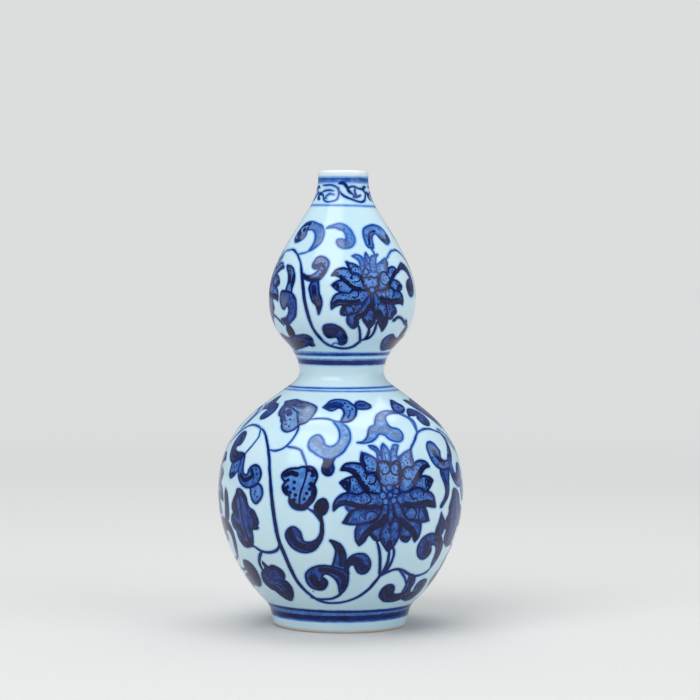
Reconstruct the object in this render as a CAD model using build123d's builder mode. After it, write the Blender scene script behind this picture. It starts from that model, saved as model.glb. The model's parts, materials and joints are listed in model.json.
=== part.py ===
from build123d import *
import os
from math import atan2, cos, degrees, isclose, radians, sin, sqrt, tan

# Double gourd vase in blue and white porcelain, 200 mm tall.
# It is thrown in sections that are luted together with slip at bevelled seams, then
# glazed outside, inside and under the base. The bottom of the foot stays bare.
# Z is the axis of the vase and z = 0 is the surface it stands on.
# Lengths are in millimetres. A slope is in degrees from the vertical, and is positive
# where the profile widens on its way up.

# Outside of the finished vase, from the foot up
foot_rim_radius = 29.4
foot_lean = 0.8
foot_wall_height = 4.6
foot_to_belly = 54.2
belly_radius = 54.1
belly_to_waist = 52.8
waist_radius = 18.7
waist_to_upper_belly = 32.1
upper_belly_radius = 32.4
upper_belly_to_neck = 53.6
neck_radius = 11.05
neck_length = 2.7

# Shape between those places: shares of the way in radius and in height, and a slope
flare_shares = (0.132, 0.119)
flare_slope = 45.4
flank_shares = (0.533, 0.336)
flank_slope = 32.0
shoulder_shares = (0.106, 0.372)
shoulder_slope = -24.1
waist_run_shares = (0.880, 0.887)
waist_run_slope = -55.4
upper_flank_shares = (0.507, 0.435)
upper_flank_slope = 45.2
taper_shares = (0.447, 0.505)
taper_slope = -31.8

# Lip and mouth
lip_outer_rounding = 1.3
lip_inner_rounding = 1.5
mouth_radius = 7.4
mouth_straight_length = 6.0

# Clay wall, floor and foot ring
wall_thickness = 3.1
floor_thickness = 4.0
floor_flat_radius = 21.0
foot_ring_width = 4.3
recess_depth = 5.0
recess_slope = -6.0
rim_bevel = 0.8

# Glaze
glaze_thickness = 0.3
bare_rim_height = 1.2
pooled_glaze_rounding = 0.8

# Slip in the seams, with a ridge squeezed out on the inside wall
slip_thickness = 0.4
slip_ridge_radius = 0.8
seam_bevel = 25.0


def tangent(slope):
    """Unit direction of a profile, as radius and height, at a slope."""
    return Vector(sin(radians(slope)), cos(radians(slope)))


def between(lower, upper, shares, slope):
    """Node part of the way from one node to another."""
    radius = lower[0] + shares[0] * (upper[0] - lower[0])
    height = lower[1] + shares[1] * (upper[1] - lower[1])
    return (radius, height, slope)


def meeting_node(start, end):
    """Node where two arcs meet that leave start and reach end along their slopes."""
    first = Vector(start[0], start[1])
    last = Vector(end[0], end[1])
    chord = last - first
    spread = tangent(start[2]) + tangent(end[2])
    along = chord.dot(spread)
    reach = chord.dot(chord) / (along + sqrt(along**2 + (4 - spread.dot(spread)) * chord.dot(chord)))
    first_corner = first + tangent(start[2]) * reach
    last_corner = last - tangent(end[2]) * reach
    middle = (first_corner + last_corner) * 0.5
    way = last_corner - first_corner
    return (middle.X, middle.Y, degrees(atan2(way.X, way.Y)))


def arc_ends(nodes):
    """The nodes of a smooth profile, with the meeting node of each curved stretch put in."""
    ends = [nodes[0]]
    for start, end in zip(nodes, nodes[1:]):
        if not isclose(start[2], end[2]):
            ends.append(meeting_node(start, end))
        ends.append(end)
    return ends


def inset(nodes, depth):
    """The same profile moved square to itself, away from its outside, by a depth."""
    return [(r - depth * cos(radians(slope)), z + depth * sin(radians(slope)), slope) for r, z, slope in nodes]


def draw_profile(nodes):
    """Draws lines and arcs from node to node, each arc tangent to the slope it leaves."""
    for start, end in zip(nodes, nodes[1:]):
        if isclose(start[2], end[2]):
            Line(start[:2], end[:2])
        else:
            TangentArc(start[:2], end[:2], tangent=tangent(start[2]))


# Profile of the glazed outside, from the bare rim of the foot over the lip to the mouth
foot_wall_slope = degrees(atan2(foot_lean, foot_wall_height))
glaze_edge_height = bare_rim_height + glaze_thickness
glaze_edge_node = (
    foot_rim_radius + glaze_edge_height * tan(radians(foot_wall_slope)),
    glaze_edge_height,
    foot_wall_slope,
)
foot_top_node = (foot_rim_radius + foot_lean, foot_wall_height, foot_wall_slope)
belly_height = foot_wall_height + foot_to_belly
waist_height = belly_height + belly_to_waist
upper_belly_height = waist_height + waist_to_upper_belly
neck_height = upper_belly_height + upper_belly_to_neck
vase_height = neck_height + neck_length
belly_node = (belly_radius, belly_height, 0)
waist_node = (waist_radius, waist_height, 0)
upper_belly_node = (upper_belly_radius, upper_belly_height, 0)
neck_node = (neck_radius, neck_height, 0)
flank_node = between(foot_top_node, belly_node, flank_shares, flank_slope)
taper_node = between(upper_belly_node, neck_node, taper_shares, taper_slope)
body_nodes = [
    glaze_edge_node,
    foot_top_node,
    between(foot_top_node, belly_node, flare_shares, flare_slope),
    flank_node,
    belly_node,
    between(belly_node, waist_node, shoulder_shares, shoulder_slope),
    between(belly_node, waist_node, waist_run_shares, waist_run_slope),
    waist_node,
    between(waist_node, upper_belly_node, upper_flank_shares, upper_flank_slope),
    upper_belly_node,
    taper_node,
    neck_node,
]
lip_nodes = [
    (neck_radius, vase_height - lip_outer_rounding, 0),
    (neck_radius - lip_outer_rounding, vase_height, -90),
    (mouth_radius + lip_inner_rounding, vase_height, -90),
    (mouth_radius, vase_height - lip_inner_rounding, -180),
]
outside_nodes = arc_ends(body_nodes) + lip_nodes
clay_outside_nodes = inset(outside_nodes, glaze_thickness)

# Profile of the clay inside, from the middle of the floor up to the mouth
floor_height = recess_depth + floor_thickness
clay_depth = glaze_thickness + wall_thickness
clay_mouth_radius = mouth_radius + glaze_thickness
throat_node = (clay_mouth_radius, vase_height - mouth_straight_length, 0)
even_wall_nodes = outside_nodes[outside_nodes.index(flank_node) : outside_nodes.index(taper_node) + 1]
inner_wall_nodes = inset(even_wall_nodes, clay_depth)
inner_taper_node = inner_wall_nodes[-1]
clay_inside_nodes = (
    [(0, floor_height, 90)]
    + arc_ends([(floor_flat_radius, floor_height, 90), inner_wall_nodes[0]])
    + inner_wall_nodes[1:-1]
    + arc_ends([inner_taper_node, throat_node])
    + [(clay_mouth_radius, vase_height - lip_inner_rounding, 0)]
)

# Corners of the bare foot, from the outside wall round the rim to the recess underneath
clay_rim_radius = clay_outside_nodes[0][0] - clay_outside_nodes[0][1] * tan(radians(foot_wall_slope))
rim_inner_radius = foot_rim_radius - foot_ring_width
recess_radius = rim_inner_radius + recess_depth * tan(radians(recess_slope))
foot_corners = [
    (0, recess_depth),
    (recess_radius, recess_depth),
    (rim_inner_radius + rim_bevel * tan(radians(recess_slope)), rim_bevel),
    (rim_inner_radius + rim_bevel, 0),
    (clay_rim_radius - rim_bevel, 0),
    (clay_rim_radius + rim_bevel * tan(radians(foot_wall_slope)), rim_bevel),
    clay_outside_nodes[0][:2],
]

# Seams between the sections. Each is a cone that crosses the wall at its inside node.
inner_belly_node, inner_waist_node, inner_upper_belly_node = inset(
    [belly_node, waist_node, upper_belly_node], clay_depth
)
inner_neck_node = meeting_node(inner_taper_node, throat_node)
seam_run = 2 * wall_thickness
seam_reach = 2 * belly_radius


def level_line(height):
    """Two ends of a level edge, from the axis to well outside the vase."""
    return (0, height), (seam_reach, height)


def seam_line(node, rise, side):
    """Corners of a seam's edge, level off the wall: its lower edge for side -1, its upper edge for side 1."""
    radius, height, _ = node
    edge_height = height + side * slip_thickness / 2 / cos(radians(rise))
    run_height = seam_run * tan(radians(rise))
    return (
        (0, edge_height - run_height),
        (radius - seam_run, edge_height - run_height),
        (radius + seam_run, edge_height + run_height),
        (seam_reach, edge_height + run_height),
    )


def seam_edges(node, bevel):
    """Lower and upper edge of a seam at a bevel from square to the wall."""
    rise = bevel - node[2]
    return seam_line(node, rise, -1), seam_line(node, rise, 1)


foot_seam = (level_line(recess_depth - slip_thickness), level_line(recess_depth))
belly_seam = seam_edges(inner_belly_node, seam_bevel)
waist_seam = seam_edges(inner_waist_node, seam_bevel)
upper_belly_seam = seam_edges(inner_upper_belly_node, seam_bevel)
neck_seam = seam_edges(inner_neck_node, -seam_bevel)
underneath = level_line(-seam_reach)
overhead = level_line(2 * vase_height)


def clay_section(lower_edge, upper_edge):
    """Half section of the clay wall between two seam edges."""
    with BuildSketch(Plane.XZ) as section:
        with BuildLine():
            draw_profile(clay_outside_nodes)
            draw_profile(clay_inside_nodes)
            Line(clay_inside_nodes[0][:2], foot_corners[0])
            Polyline(*foot_corners)
        make_face()
        with BuildLine():
            Polyline(*lower_edge, *reversed(upper_edge), close=True)
        make_face(mode=Mode.INTERSECT)
    return section


def slip_section(seam, node):
    """Half section of the slip in a seam, with its ridge on the inside wall."""
    with BuildSketch(Plane.XZ) as section:
        with Locations(node[:2]):
            Circle(slip_ridge_radius)
        add(clay_section(underneath, overhead).sketch_local, mode=Mode.SUBTRACT)
        add(clay_section(*seam).sketch_local)
    return section


def draw_glaze_edge(glaze_node, clay_node):
    """Draws the rounded edge of a glaze, from its surface down to the bare clay below."""
    down = tangent(glaze_node[2]) * -glaze_thickness
    edge = Vector(clay_node[0], clay_node[1]) + down
    TangentArc(glaze_node[:2], edge, tangent=down)
    Line(edge, clay_node[:2])


# Foot ring, turned with a bevelled rim
with BuildPart() as foot_ring:
    revolve(clay_section(underneath, foot_seam[0]).sketch, axis=Axis.Z)

# Lower half of the lower bulb, with the floor
with BuildPart() as lower_bulb_base:
    revolve(clay_section(foot_seam[1], belly_seam[0]).sketch, axis=Axis.Z)

# Upper half of the lower bulb, up to the waist
with BuildPart() as lower_bulb_shoulder:
    revolve(clay_section(belly_seam[1], waist_seam[0]).sketch, axis=Axis.Z)

# Lower half of the upper bulb, from the waist
with BuildPart() as upper_bulb_base:
    revolve(clay_section(waist_seam[1], upper_belly_seam[0]).sketch, axis=Axis.Z)

# Upper half of the upper bulb, tapering to the neck
with BuildPart() as upper_bulb_shoulder:
    revolve(clay_section(upper_belly_seam[1], neck_seam[0]).sketch, axis=Axis.Z)

# Neck and rolled lip
with BuildPart() as mouth_collar:
    revolve(clay_section(neck_seam[1], overhead).sketch, axis=Axis.Z)

# Slip that lutes the foot ring to the underside of the base
with BuildPart() as foot_slip:
    revolve(clay_section(*foot_seam).sketch, axis=Axis.Z)

# Slip at the widest part of the lower bulb
with BuildPart() as belly_slip:
    revolve(slip_section(belly_seam, inner_belly_node).sketch, axis=Axis.Z)

# Slip at the waist
with BuildPart() as waist_slip:
    revolve(slip_section(waist_seam, inner_waist_node).sketch, axis=Axis.Z)

# Slip at the widest part of the upper bulb
with BuildPart() as upper_belly_slip:
    revolve(slip_section(upper_belly_seam, inner_upper_belly_node).sketch, axis=Axis.Z)

# Slip under the neck
with BuildPart() as neck_slip:
    revolve(slip_section(neck_seam, inner_neck_node).sketch, axis=Axis.Z)

# Glaze over the outside and the lip, ending in a rounded edge above the rim of the foot
with BuildPart() as outer_glaze:
    with BuildSketch(Plane.XZ):
        with BuildLine():
            draw_profile(outside_nodes)
            Line(outside_nodes[-1][:2], clay_outside_nodes[-1][:2])
            draw_profile(clay_outside_nodes)
            draw_glaze_edge(outside_nodes[0], clay_outside_nodes[0])
        make_face()
    revolve(axis=Axis.Z)

# Glaze over the inside, raised where it runs over the ridges of slip
inner_glaze_nodes = inset(clay_inside_nodes, glaze_thickness)
ridge_nodes = [inner_belly_node, inner_waist_node, inner_upper_belly_node, inner_neck_node]
with BuildPart() as inner_glaze:
    with BuildSketch(Plane.XZ):
        with BuildLine():
            draw_profile(inner_glaze_nodes)
            Line(inner_glaze_nodes[-1][:2], clay_inside_nodes[-1][:2])
            draw_profile(clay_inside_nodes)
            Line(clay_inside_nodes[0][:2], inner_glaze_nodes[0][:2])
        make_face()
        with Locations(*[node[:2] for node in ridge_nodes]):
            Circle(slip_ridge_radius + glaze_thickness)
            Circle(slip_ridge_radius, mode=Mode.SUBTRACT)
        add(clay_section(underneath, overhead).sketch_local, mode=Mode.SUBTRACT)
    revolve(axis=Axis.Z)

# Glaze under the base and down the inside of the foot ring, pooled in the corner
recess_edge_radius = rim_inner_radius + glaze_edge_height * tan(radians(recess_slope))
recess_edge_node = (recess_edge_radius, glaze_edge_height, recess_slope)
base_glaze_edge_node = inset([recess_edge_node], glaze_thickness)[0]
base_glaze_height = recess_depth - glaze_thickness
rise_to_corner = base_glaze_height - base_glaze_edge_node[1]
base_glaze_radius = base_glaze_edge_node[0] + rise_to_corner * tan(radians(recess_slope))
pool_start = Vector(base_glaze_radius, base_glaze_height) - tangent(recess_slope) * pooled_glaze_rounding
base_glaze_nodes = [
    base_glaze_edge_node,
    (pool_start.X, pool_start.Y, recess_slope),
    (base_glaze_radius - pooled_glaze_rounding, base_glaze_height, -90),
    (0, base_glaze_height, -90),
]
with BuildPart() as base_glaze:
    with BuildSketch(Plane.XZ):
        with BuildLine():
            draw_profile(base_glaze_nodes)
            Polyline((0, base_glaze_height), (0, recess_depth), foot_corners[1], recess_edge_node[:2])
            draw_glaze_edge(base_glaze_edge_node, recess_edge_node)
        make_face()
    revolve(axis=Axis.Z)

pieces = {
    "foot_ring": foot_ring,
    "lower_bulb_base": lower_bulb_base,
    "lower_bulb_shoulder": lower_bulb_shoulder,
    "upper_bulb_base": upper_bulb_base,
    "upper_bulb_shoulder": upper_bulb_shoulder,
    "mouth_collar": mouth_collar,
    "foot_slip": foot_slip,
    "belly_slip": belly_slip,
    "waist_slip": waist_slip,
    "upper_belly_slip": upper_belly_slip,
    "neck_slip": neck_slip,
    "outer_glaze": outer_glaze,
    "inner_glaze": inner_glaze,
    "base_glaze": base_glaze,
}
os.makedirs("parts", exist_ok=True)
for name, piece in pieces.items():
    piece.part.label = name
    export_step(piece.part, f"parts/{name}.step")
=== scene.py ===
import json
from collections import namedtuple
from math import atan2, ceil, cos, degrees, floor, hypot, isclose, radians, sin, sqrt

import bpy
import numpy as np
from mathutils import Matrix, Vector


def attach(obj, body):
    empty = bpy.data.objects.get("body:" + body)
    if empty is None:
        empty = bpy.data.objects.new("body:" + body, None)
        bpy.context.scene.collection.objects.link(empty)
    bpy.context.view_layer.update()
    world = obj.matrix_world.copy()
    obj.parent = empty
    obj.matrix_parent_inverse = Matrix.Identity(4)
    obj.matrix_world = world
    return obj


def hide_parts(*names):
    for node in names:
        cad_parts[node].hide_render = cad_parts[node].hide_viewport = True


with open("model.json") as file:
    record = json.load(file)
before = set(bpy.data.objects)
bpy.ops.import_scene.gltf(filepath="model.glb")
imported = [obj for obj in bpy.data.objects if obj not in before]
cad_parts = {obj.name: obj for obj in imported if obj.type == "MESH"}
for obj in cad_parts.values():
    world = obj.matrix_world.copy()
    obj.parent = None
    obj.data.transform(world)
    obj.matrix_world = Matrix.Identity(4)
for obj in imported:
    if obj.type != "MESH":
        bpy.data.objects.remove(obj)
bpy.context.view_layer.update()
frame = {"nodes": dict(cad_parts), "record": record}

MM = 0.001

# Profile of the glazed outside, in mm: each place has a radius, a height and a slope from the vertical

HEIGHT = 200.0
FOOT_RADIUS = 29.4
FOOT_HEIGHT = 4.6
FOOT_LEAN = 0.8
NECK_RADIUS = 11.05
BORE_RADIUS = 7.4
LIP_OUTER_ROUND = 1.3
LIP_INNER_ROUND = 1.5
GLAZE = 0.3
GLAZE_START = 1.5


def between(lower, upper, shares, slope):
    """Node part of the way from one node to another."""
    radius = lower[0] + shares[0] * (upper[0] - lower[0])
    height = lower[1] + shares[1] * (upper[1] - lower[1])
    return (radius, height, slope)


foot_slope = degrees(atan2(FOOT_LEAN, FOOT_HEIGHT))
foot_rim = (FOOT_RADIUS, 0.0, foot_slope)
foot_top = (FOOT_RADIUS + FOOT_LEAN, FOOT_HEIGHT, foot_slope)
belly = (54.1, 58.8, 0.0)
waist = (18.7, 111.6, 0.0)
upper_belly = (32.4, 143.7, 0.0)
neck = (NECK_RADIUS, 197.3, 0.0)
body_nodes = [
    foot_rim,
    foot_top,
    between(foot_top, belly, (0.132, 0.119), 45.4),
    between(foot_top, belly, (0.533, 0.336), 32.0),
    belly,
    between(belly, waist, (0.106, 0.372), -24.1),
    between(belly, waist, (0.880, 0.887), -55.4),
    waist,
    between(waist, upper_belly, (0.507, 0.435), 45.2),
    upper_belly,
    between(upper_belly, neck, (0.447, 0.505), -31.8),
    neck,
]
bore_rim = (BORE_RADIUS, HEIGHT - LIP_INNER_ROUND, -180.0)
lip_nodes = [
    (NECK_RADIUS, HEIGHT - LIP_OUTER_ROUND, 0.0),
    (NECK_RADIUS - LIP_OUTER_ROUND, HEIGHT, -90.0),
    (BORE_RADIUS + LIP_INNER_ROUND, HEIGHT, -90.0),
    bore_rim,
]


def tangent(slope):
    """Direction of the profile at a slope, outwards and up."""
    return np.array([sin(radians(slope)), cos(radians(slope))])


def meeting_node(start, end):
    """Node where two arcs meet that leave start and reach end along their slopes."""
    first, last = np.array(start[:2]), np.array(end[:2])
    chord = last - first
    spread = tangent(start[2]) + tangent(end[2])
    along = chord @ spread
    reach = chord @ chord / (along + sqrt(along**2 + (4 - spread @ spread) * (chord @ chord)))
    first_corner = first + tangent(start[2]) * reach
    last_corner = last - tangent(end[2]) * reach
    middle, way = (first_corner + last_corner) / 2, last_corner - first_corner
    return (middle[0], middle[1], degrees(atan2(way[0], way[1])))


def all_nodes(nodes):
    """The nodes with those between them where two arcs meet."""
    ends = [nodes[0]]
    for start, end in zip(nodes, nodes[1:]):
        if not isclose(start[2], end[2]):
            ends.append(meeting_node(start, end))
        ends.append(end)
    return ends


def arc_length(start, end):
    """Length of the arc, or of the straight line, from one node to the next."""
    chord = hypot(end[0] - start[0], end[1] - start[1])
    turn = abs(radians(end[2] - start[2]))
    return chord if turn < 1e-6 else chord * turn / 2 / sin(turn / 2)


profile = all_nodes(body_nodes) + lip_nodes
lengths = [arc_length(a, b) for a, b in zip(profile, profile[1:])]
starts = np.concatenate([[0.0], np.cumsum(lengths)])
PROFILE_LENGTH = starts[-1]


def place(run):
    """Radius, height and slope in radians of the profile, at lengths along it from the foot's rim."""
    run = np.atleast_1d(np.asarray(run, float))
    radius, height, slope = np.zeros_like(run), np.zeros_like(run), np.zeros_like(run)
    for n, (a, b) in enumerate(zip(profile, profile[1:])):
        here = (run >= starts[n] - 1e-9) & (run <= starts[n + 1] + 1e-9)
        share = (run[here] - starts[n]) / lengths[n]
        lean = np.radians(a[2] + (b[2] - a[2]) * share)
        turn = radians(b[2] - a[2])
        if abs(turn) < 1e-6:
            radius[here] = a[0] + (b[0] - a[0]) * share
            height[here] = a[1] + (b[1] - a[1]) * share
        else:
            bend = lengths[n] / turn
            radius[here] = a[0] - bend * (np.cos(lean) - cos(radians(a[2])))
            height[here] = a[1] + bend * (np.sin(lean) - sin(radians(a[2])))
        slope[here] = lean
    return radius, height, slope


# the whole layout of the painting sits this many mm higher on the vase than it is written
LIFT = 0.48
# over the last mm of the profile, at the lip, the layout follows its length alone
LIP_LENGTH = 6
climbing_run = np.linspace(0, PROFILE_LENGTH - LIP_LENGTH, 2000)
climbing_height = place(climbing_run)[1]


def chart_of(run):
    """Runs of the painter's layout at runs of the profile."""
    past_climb = np.maximum(run - climbing_run[-1], 0)
    return np.interp(place(run)[1] - LIFT, climbing_height, climbing_run) + past_climb


# Brushwork: distances and washes on a grid of points of the glaze
# Places are (degrees round the vase from the front towards +X, mm up along the profile).

# largest distance to a line that is kept, in mm
FAR = 3.0
# how far round a form or a speck the grid is worked on, in mm
MARGIN = 1.6
SPECK_MARGIN = 2.0
# how much heavier the brush is than the widths written in the layout
STEM_WEIGHT = 1.4
LINE_WEIGHT = 1.4
# share of its width that a stroke has at its two ends
END_TAPER = 0.6
# mm over which a form covers what is under it, and over which its wash gets paler from the rim inwards
SOFT_EDGE = 0.5
RIM_REACH = 0.9
# how steeply a soft patch rises to its full strength
PATCH_SLOPE = 1.6
# strength of the petals' washes beside that of the leaves
PETAL_WASH = 0.8
# cosine of the sharpest turn that a line still takes in a curve
SHARP_TURN = 0.2
# parts of a smooth line between two written points, and parts looked at together in a stroke
SMOOTH_PARTS = 5
STRETCH = 6
# strength of the washes by mm up the layout: they are darker low down on each bulb, as painted shade where
# less light falls there
WASH_SHADE_BY_RUN = ((20, 1.3), (60, 1.3), (90, 1.05), (115, 0.95), (135, 1.3), (162, 1.2), (185, 1.0), (230, 1.0))
# repeats of a form round the vase: degrees turned and mm lifted
ALL_ROUND = ((0, 0), (120, 0), (-120, 0))
FRONT = ((0, 0),)
FRONT_AND_RIGHT = ((0, 0), (120, 0))
FRONT_AND_LEFT = ((0, 0), (-120, 0))
FRONT_AND_BACK = ((0, 0), (145, 0))
UPPER_FLOWERS = ((0, 0), (120, 0), (-113, 1.5))

# a part of the grid: its rows and columns, its angles and runs, and its mm per degree
Area = namedtuple("Area", "where angle run scale")


def sharp(before, after):
    """Whether the line turns by a sharp corner from one run of it to the next."""
    return before @ after < SHARP_TURN * hypot(*before) * hypot(*after)


def smooth(points, closed=False):
    """The points joined by a smooth line that keeps its sharp corners."""
    points = np.array(points, float)
    count = len(points)
    scale = np.array([radians(float(place(points[:, 1].mean())[0][0])), 1.0])
    flat = points[:, :2] * scale

    def step(i):
        return flat[(i + 1) % count] - flat[i % count]

    line = []
    spans = count if closed else count - 1
    for i in range(spans):
        j = (i + 1) % count
        before, here, after = step(i - 1), step(i), step(i + 1)
        first, last = (before + here) / 2, (here + after) / 2
        if (not closed and i == 0) or sharp(before, here):
            first = here
        if (not closed and i == spans - 1) or sharp(here, after):
            last = here
        size = hypot(*here)
        first = first * size / max(hypot(*first), 1e-9)
        last = last * size / max(hypot(*last), 1e-9)
        for k in range(SMOOTH_PARTS):
            t = k / SMOOTH_PARTS
            weights = (2 * t**3 - 3 * t**2 + 1, t**3 - 2 * t**2 + t, 3 * t**2 - 2 * t**3, t**3 - t**2)
            at = sum(w * v for w, v in zip(weights, (flat[i], first, flat[j], last)))
            width = points[i, 2:] + (points[j, 2:] - points[i, 2:]) * t
            line.append((*(at / scale), *width))
    line.append(tuple(points[0] if closed else points[-1]))
    return line


def line_through(points, half_width=0.0, closed=False):
    """A smooth line of one width."""
    return [(*p, half_width) for p in smooth(points, closed)]


def circle(angle, run, across, up, start=0, end=360):
    """Points round an ellipse, across in degrees and up in mm."""
    steps = max(4, round((end - start) / 45))
    is_open = end - start < 360
    turns = [radians(start + (end - start) * k / steps) for k in range(steps + is_open)]
    return [(angle + across * cos(turn), run + up * sin(turn)) for turn in turns]


def distance(area, line):
    """Distance from each point of an area to the edge of a line of changing width."""
    best = np.full(np.broadcast(area.angle, area.run).shape, FAR)
    for (t0, s0, w0), (t1, s1, w1) in zip(line, line[1:]):
        ax, ay = (area.angle - t0) * area.scale, area.run - s0
        bx, by = (t1 - t0) * area.scale, s1 - s0
        share = np.clip((ax * bx + ay * by) / (bx * bx + by * by + 1e-9), 0, 1)
        gap = np.hypot(ax - share * bx, ay - share * by) - (w0 + (w1 - w0) * share)
        best = np.minimum(best, gap)
    return best


def distance_to_spot(area, angle, run):
    """Distance from each point of an area to one place."""
    return np.hypot((area.angle - angle) * area.scale, area.run - run)


def within(area, edge):
    """Which points of an area lie inside a closed line."""
    inside = np.zeros(np.broadcast(area.angle, area.run).shape, bool)
    for (t0, s0, _), (t1, s1, _) in zip(edge, edge[1:]):
        if s0 != s1:
            crossing = t0 + (t1 - t0) * (area.run - s0) / (s1 - s0)
            inside ^= ((s0 > area.run) != (s1 > area.run)) & (area.angle < crossing)
    return inside


def patches(area, rows):
    """Strength of soft patches. Each row gives the points of one, its reach in mm and its strength."""
    amount = 0.0
    for points, reach, strength in rows:
        near = 1 - distance(area, line_through(points)) / reach
        amount = np.maximum(amount, strength * np.clip(near * PATCH_SLOPE, 0, 1))
    return amount


class Band:
    """A band of the glaze that is painted: rows up the profile, columns round the vase."""

    def __init__(self, run, columns):
        self.run, self.columns, self.step = np.asarray(run, float), columns, 360 / columns
        self.scale = np.radians(1) * place(self.run)[0]
        self.chart = chart_of(self.run)
        size = (len(self.run), columns)
        self.line = np.full(size, FAR)
        self.tone = np.ones(size)
        self.wash, self.heap, self.grey, self.speck, self.dotted = (np.zeros(size) for _ in range(5))

    def areas(self, points, repeats, margin=MARGIN):
        """The area of the grid near some points, for each repeat of them that the band reaches."""
        for turn, lift in repeats:
            angles, runs = [p[0] for p in points], [p[1] + lift for p in points]
            low = int(np.searchsorted(self.chart, min(runs) - margin))
            high = int(np.searchsorted(self.chart, max(runs) + margin))
            if low >= high:
                continue
            scale = self.scale[low:high, None]
            reach = margin / scale.min() + 1
            first = floor((min(angles) + turn - reach + 180) / self.step)
            last = ceil((max(angles) + turn + reach + 180) / self.step)
            columns = np.arange(first, last + 1)
            angle = (columns * self.step - 180 - turn)[None, :]
            run = self.chart[low:high, None] - lift
            if turn:
                # no two repeats are drawn quite alike: each is bent by up to about a degree and half a mm
                swing = 0.7 * np.sin(run / 11 + turn) + 0.25 * np.sin(run / 3.7)
                angle, run = angle + swing, run + 0.5 * np.sin(angle / 8 + turn)
            yield Area((slice(low, high), columns % self.columns), angle, run, scale)

    def ink(self, where, gap, tone):
        """Draws a line whose edge is a distance gap away, where it is nearer than the lines so far."""
        old = self.line[where]
        self.tone[where] = np.where(gap < old, tone, self.tone[where])
        self.line[where] = np.minimum(old, gap)

    def stroke(self, points, width, tone, repeats=ALL_ROUND):
        """A brush line, thinner at its ends. A point may give the width there as a third number."""
        full = []
        for i, (angle, run, *own_width) in enumerate(points):
            taper = END_TAPER if i in (0, len(points) - 1) else 1.0
            full.append((angle, run, (own_width[0] if own_width else width) / 2 * taper * STEM_WEIGHT))
        line = smooth(full)
        for i in range(0, len(line) - 1, STRETCH):
            part = line[i : i + STRETCH + 1]
            for area in self.areas(part, repeats):
                self.ink(area.where, distance(area, part), tone)

    def shape(
        self, outline, wash, tone, width=0.6, rim=0.2, smears=(), grey=(), ribs=(), rib_width=0.5,
        dots=(), dot_size=1.0, dotted=0.0, repeats=ALL_ROUND,
    ):
        """A filled form in front of what is painted so far, with its smears, dots and ribs."""
        edge = line_through(outline, closed=True)
        rib_lines = [line_through(rib, rib_width / 2 * LINE_WEIGHT) for rib in ribs]
        for area in self.areas(edge, repeats):
            gap = distance(area, edge)
            signed = np.where(within(area, edge), -gap, gap)
            cover = np.clip(0.5 - signed / SOFT_EDGE, 0, 1)
            # the wash is darkened low down on each bulb as painted shade
            fill = wash * np.interp(area.run, *zip(*WASH_SHADE_BY_RUN)) + rim * np.exp(-gap / RIM_REACH)
            # grey patches: partly rubbed colour, partly painted reflection of the lit glaze
            heap, shade = patches(area, smears), patches(area, grey)
            layers = {"wash": fill, "heap": heap, "grey": shade, "dotted": dotted}
            for name, amount in layers.items():
                layer = getattr(self, name)
                layer[area.where] += cover * (amount - layer[area.where])
            drawn = gap - width / 2 * LINE_WEIGHT
            for rib in rib_lines:
                drawn = np.minimum(drawn, distance(area, rib))
            for dot in dots:
                drawn = np.minimum(drawn, distance_to_spot(area, *dot) - dot_size / 2)
            self.line[area.where] = np.maximum(self.line[area.where], -signed)
            self.ink(area.where, drawn, tone)

    def ring_gap(self, run, width, wobble, tilt):
        """Distance from each point of the band to a line round the vase."""
        angle = np.radians(np.arange(self.columns) * self.step - 180)[None, :]
        middle = run + wobble * np.sin(angle + run) + tilt * np.sin(angle)
        return np.abs(self.chart[:, None] - middle) - width / 2

    def ring(self, run, width, tone, wobble=0.15, tilt=0.0):
        """A line drawn round the vase as it turns on the wheel."""
        self.ink(slice(None), self.ring_gap(run, width, wobble, tilt), tone)

    def ring_wash(self, run, width, soft, amount, wobble=0.15, tilt=0.0):
        """A soft wash round the vase."""
        share = np.clip(1 - self.ring_gap(run, width, wobble, tilt) / soft, 0, 1)
        self.wash = np.maximum(self.wash, share * amount)


def form(outline, wash, tone=0.95, **more):
    """Settings of a filled form: its outline, the strength of its wash, the tone of its lines and others.

    Smears are heaps of dark colour. Grey patches are partly rubbed colour and partly painted reflection,
    the glaze's sheen that pales the cobalt where light falls. Both are given as rows of points,
    reach in mm and strength. Ribs are lines inside the form. Sizes and widths are in mm.
    """
    return dict(outline=outline, wash=wash, tone=tone, **more)


# A stroke below is a row of points, width in mm and tone, and a seed is an angle, a run and a radius in mm.


# The lotus scroll on the lower bulb

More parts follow.
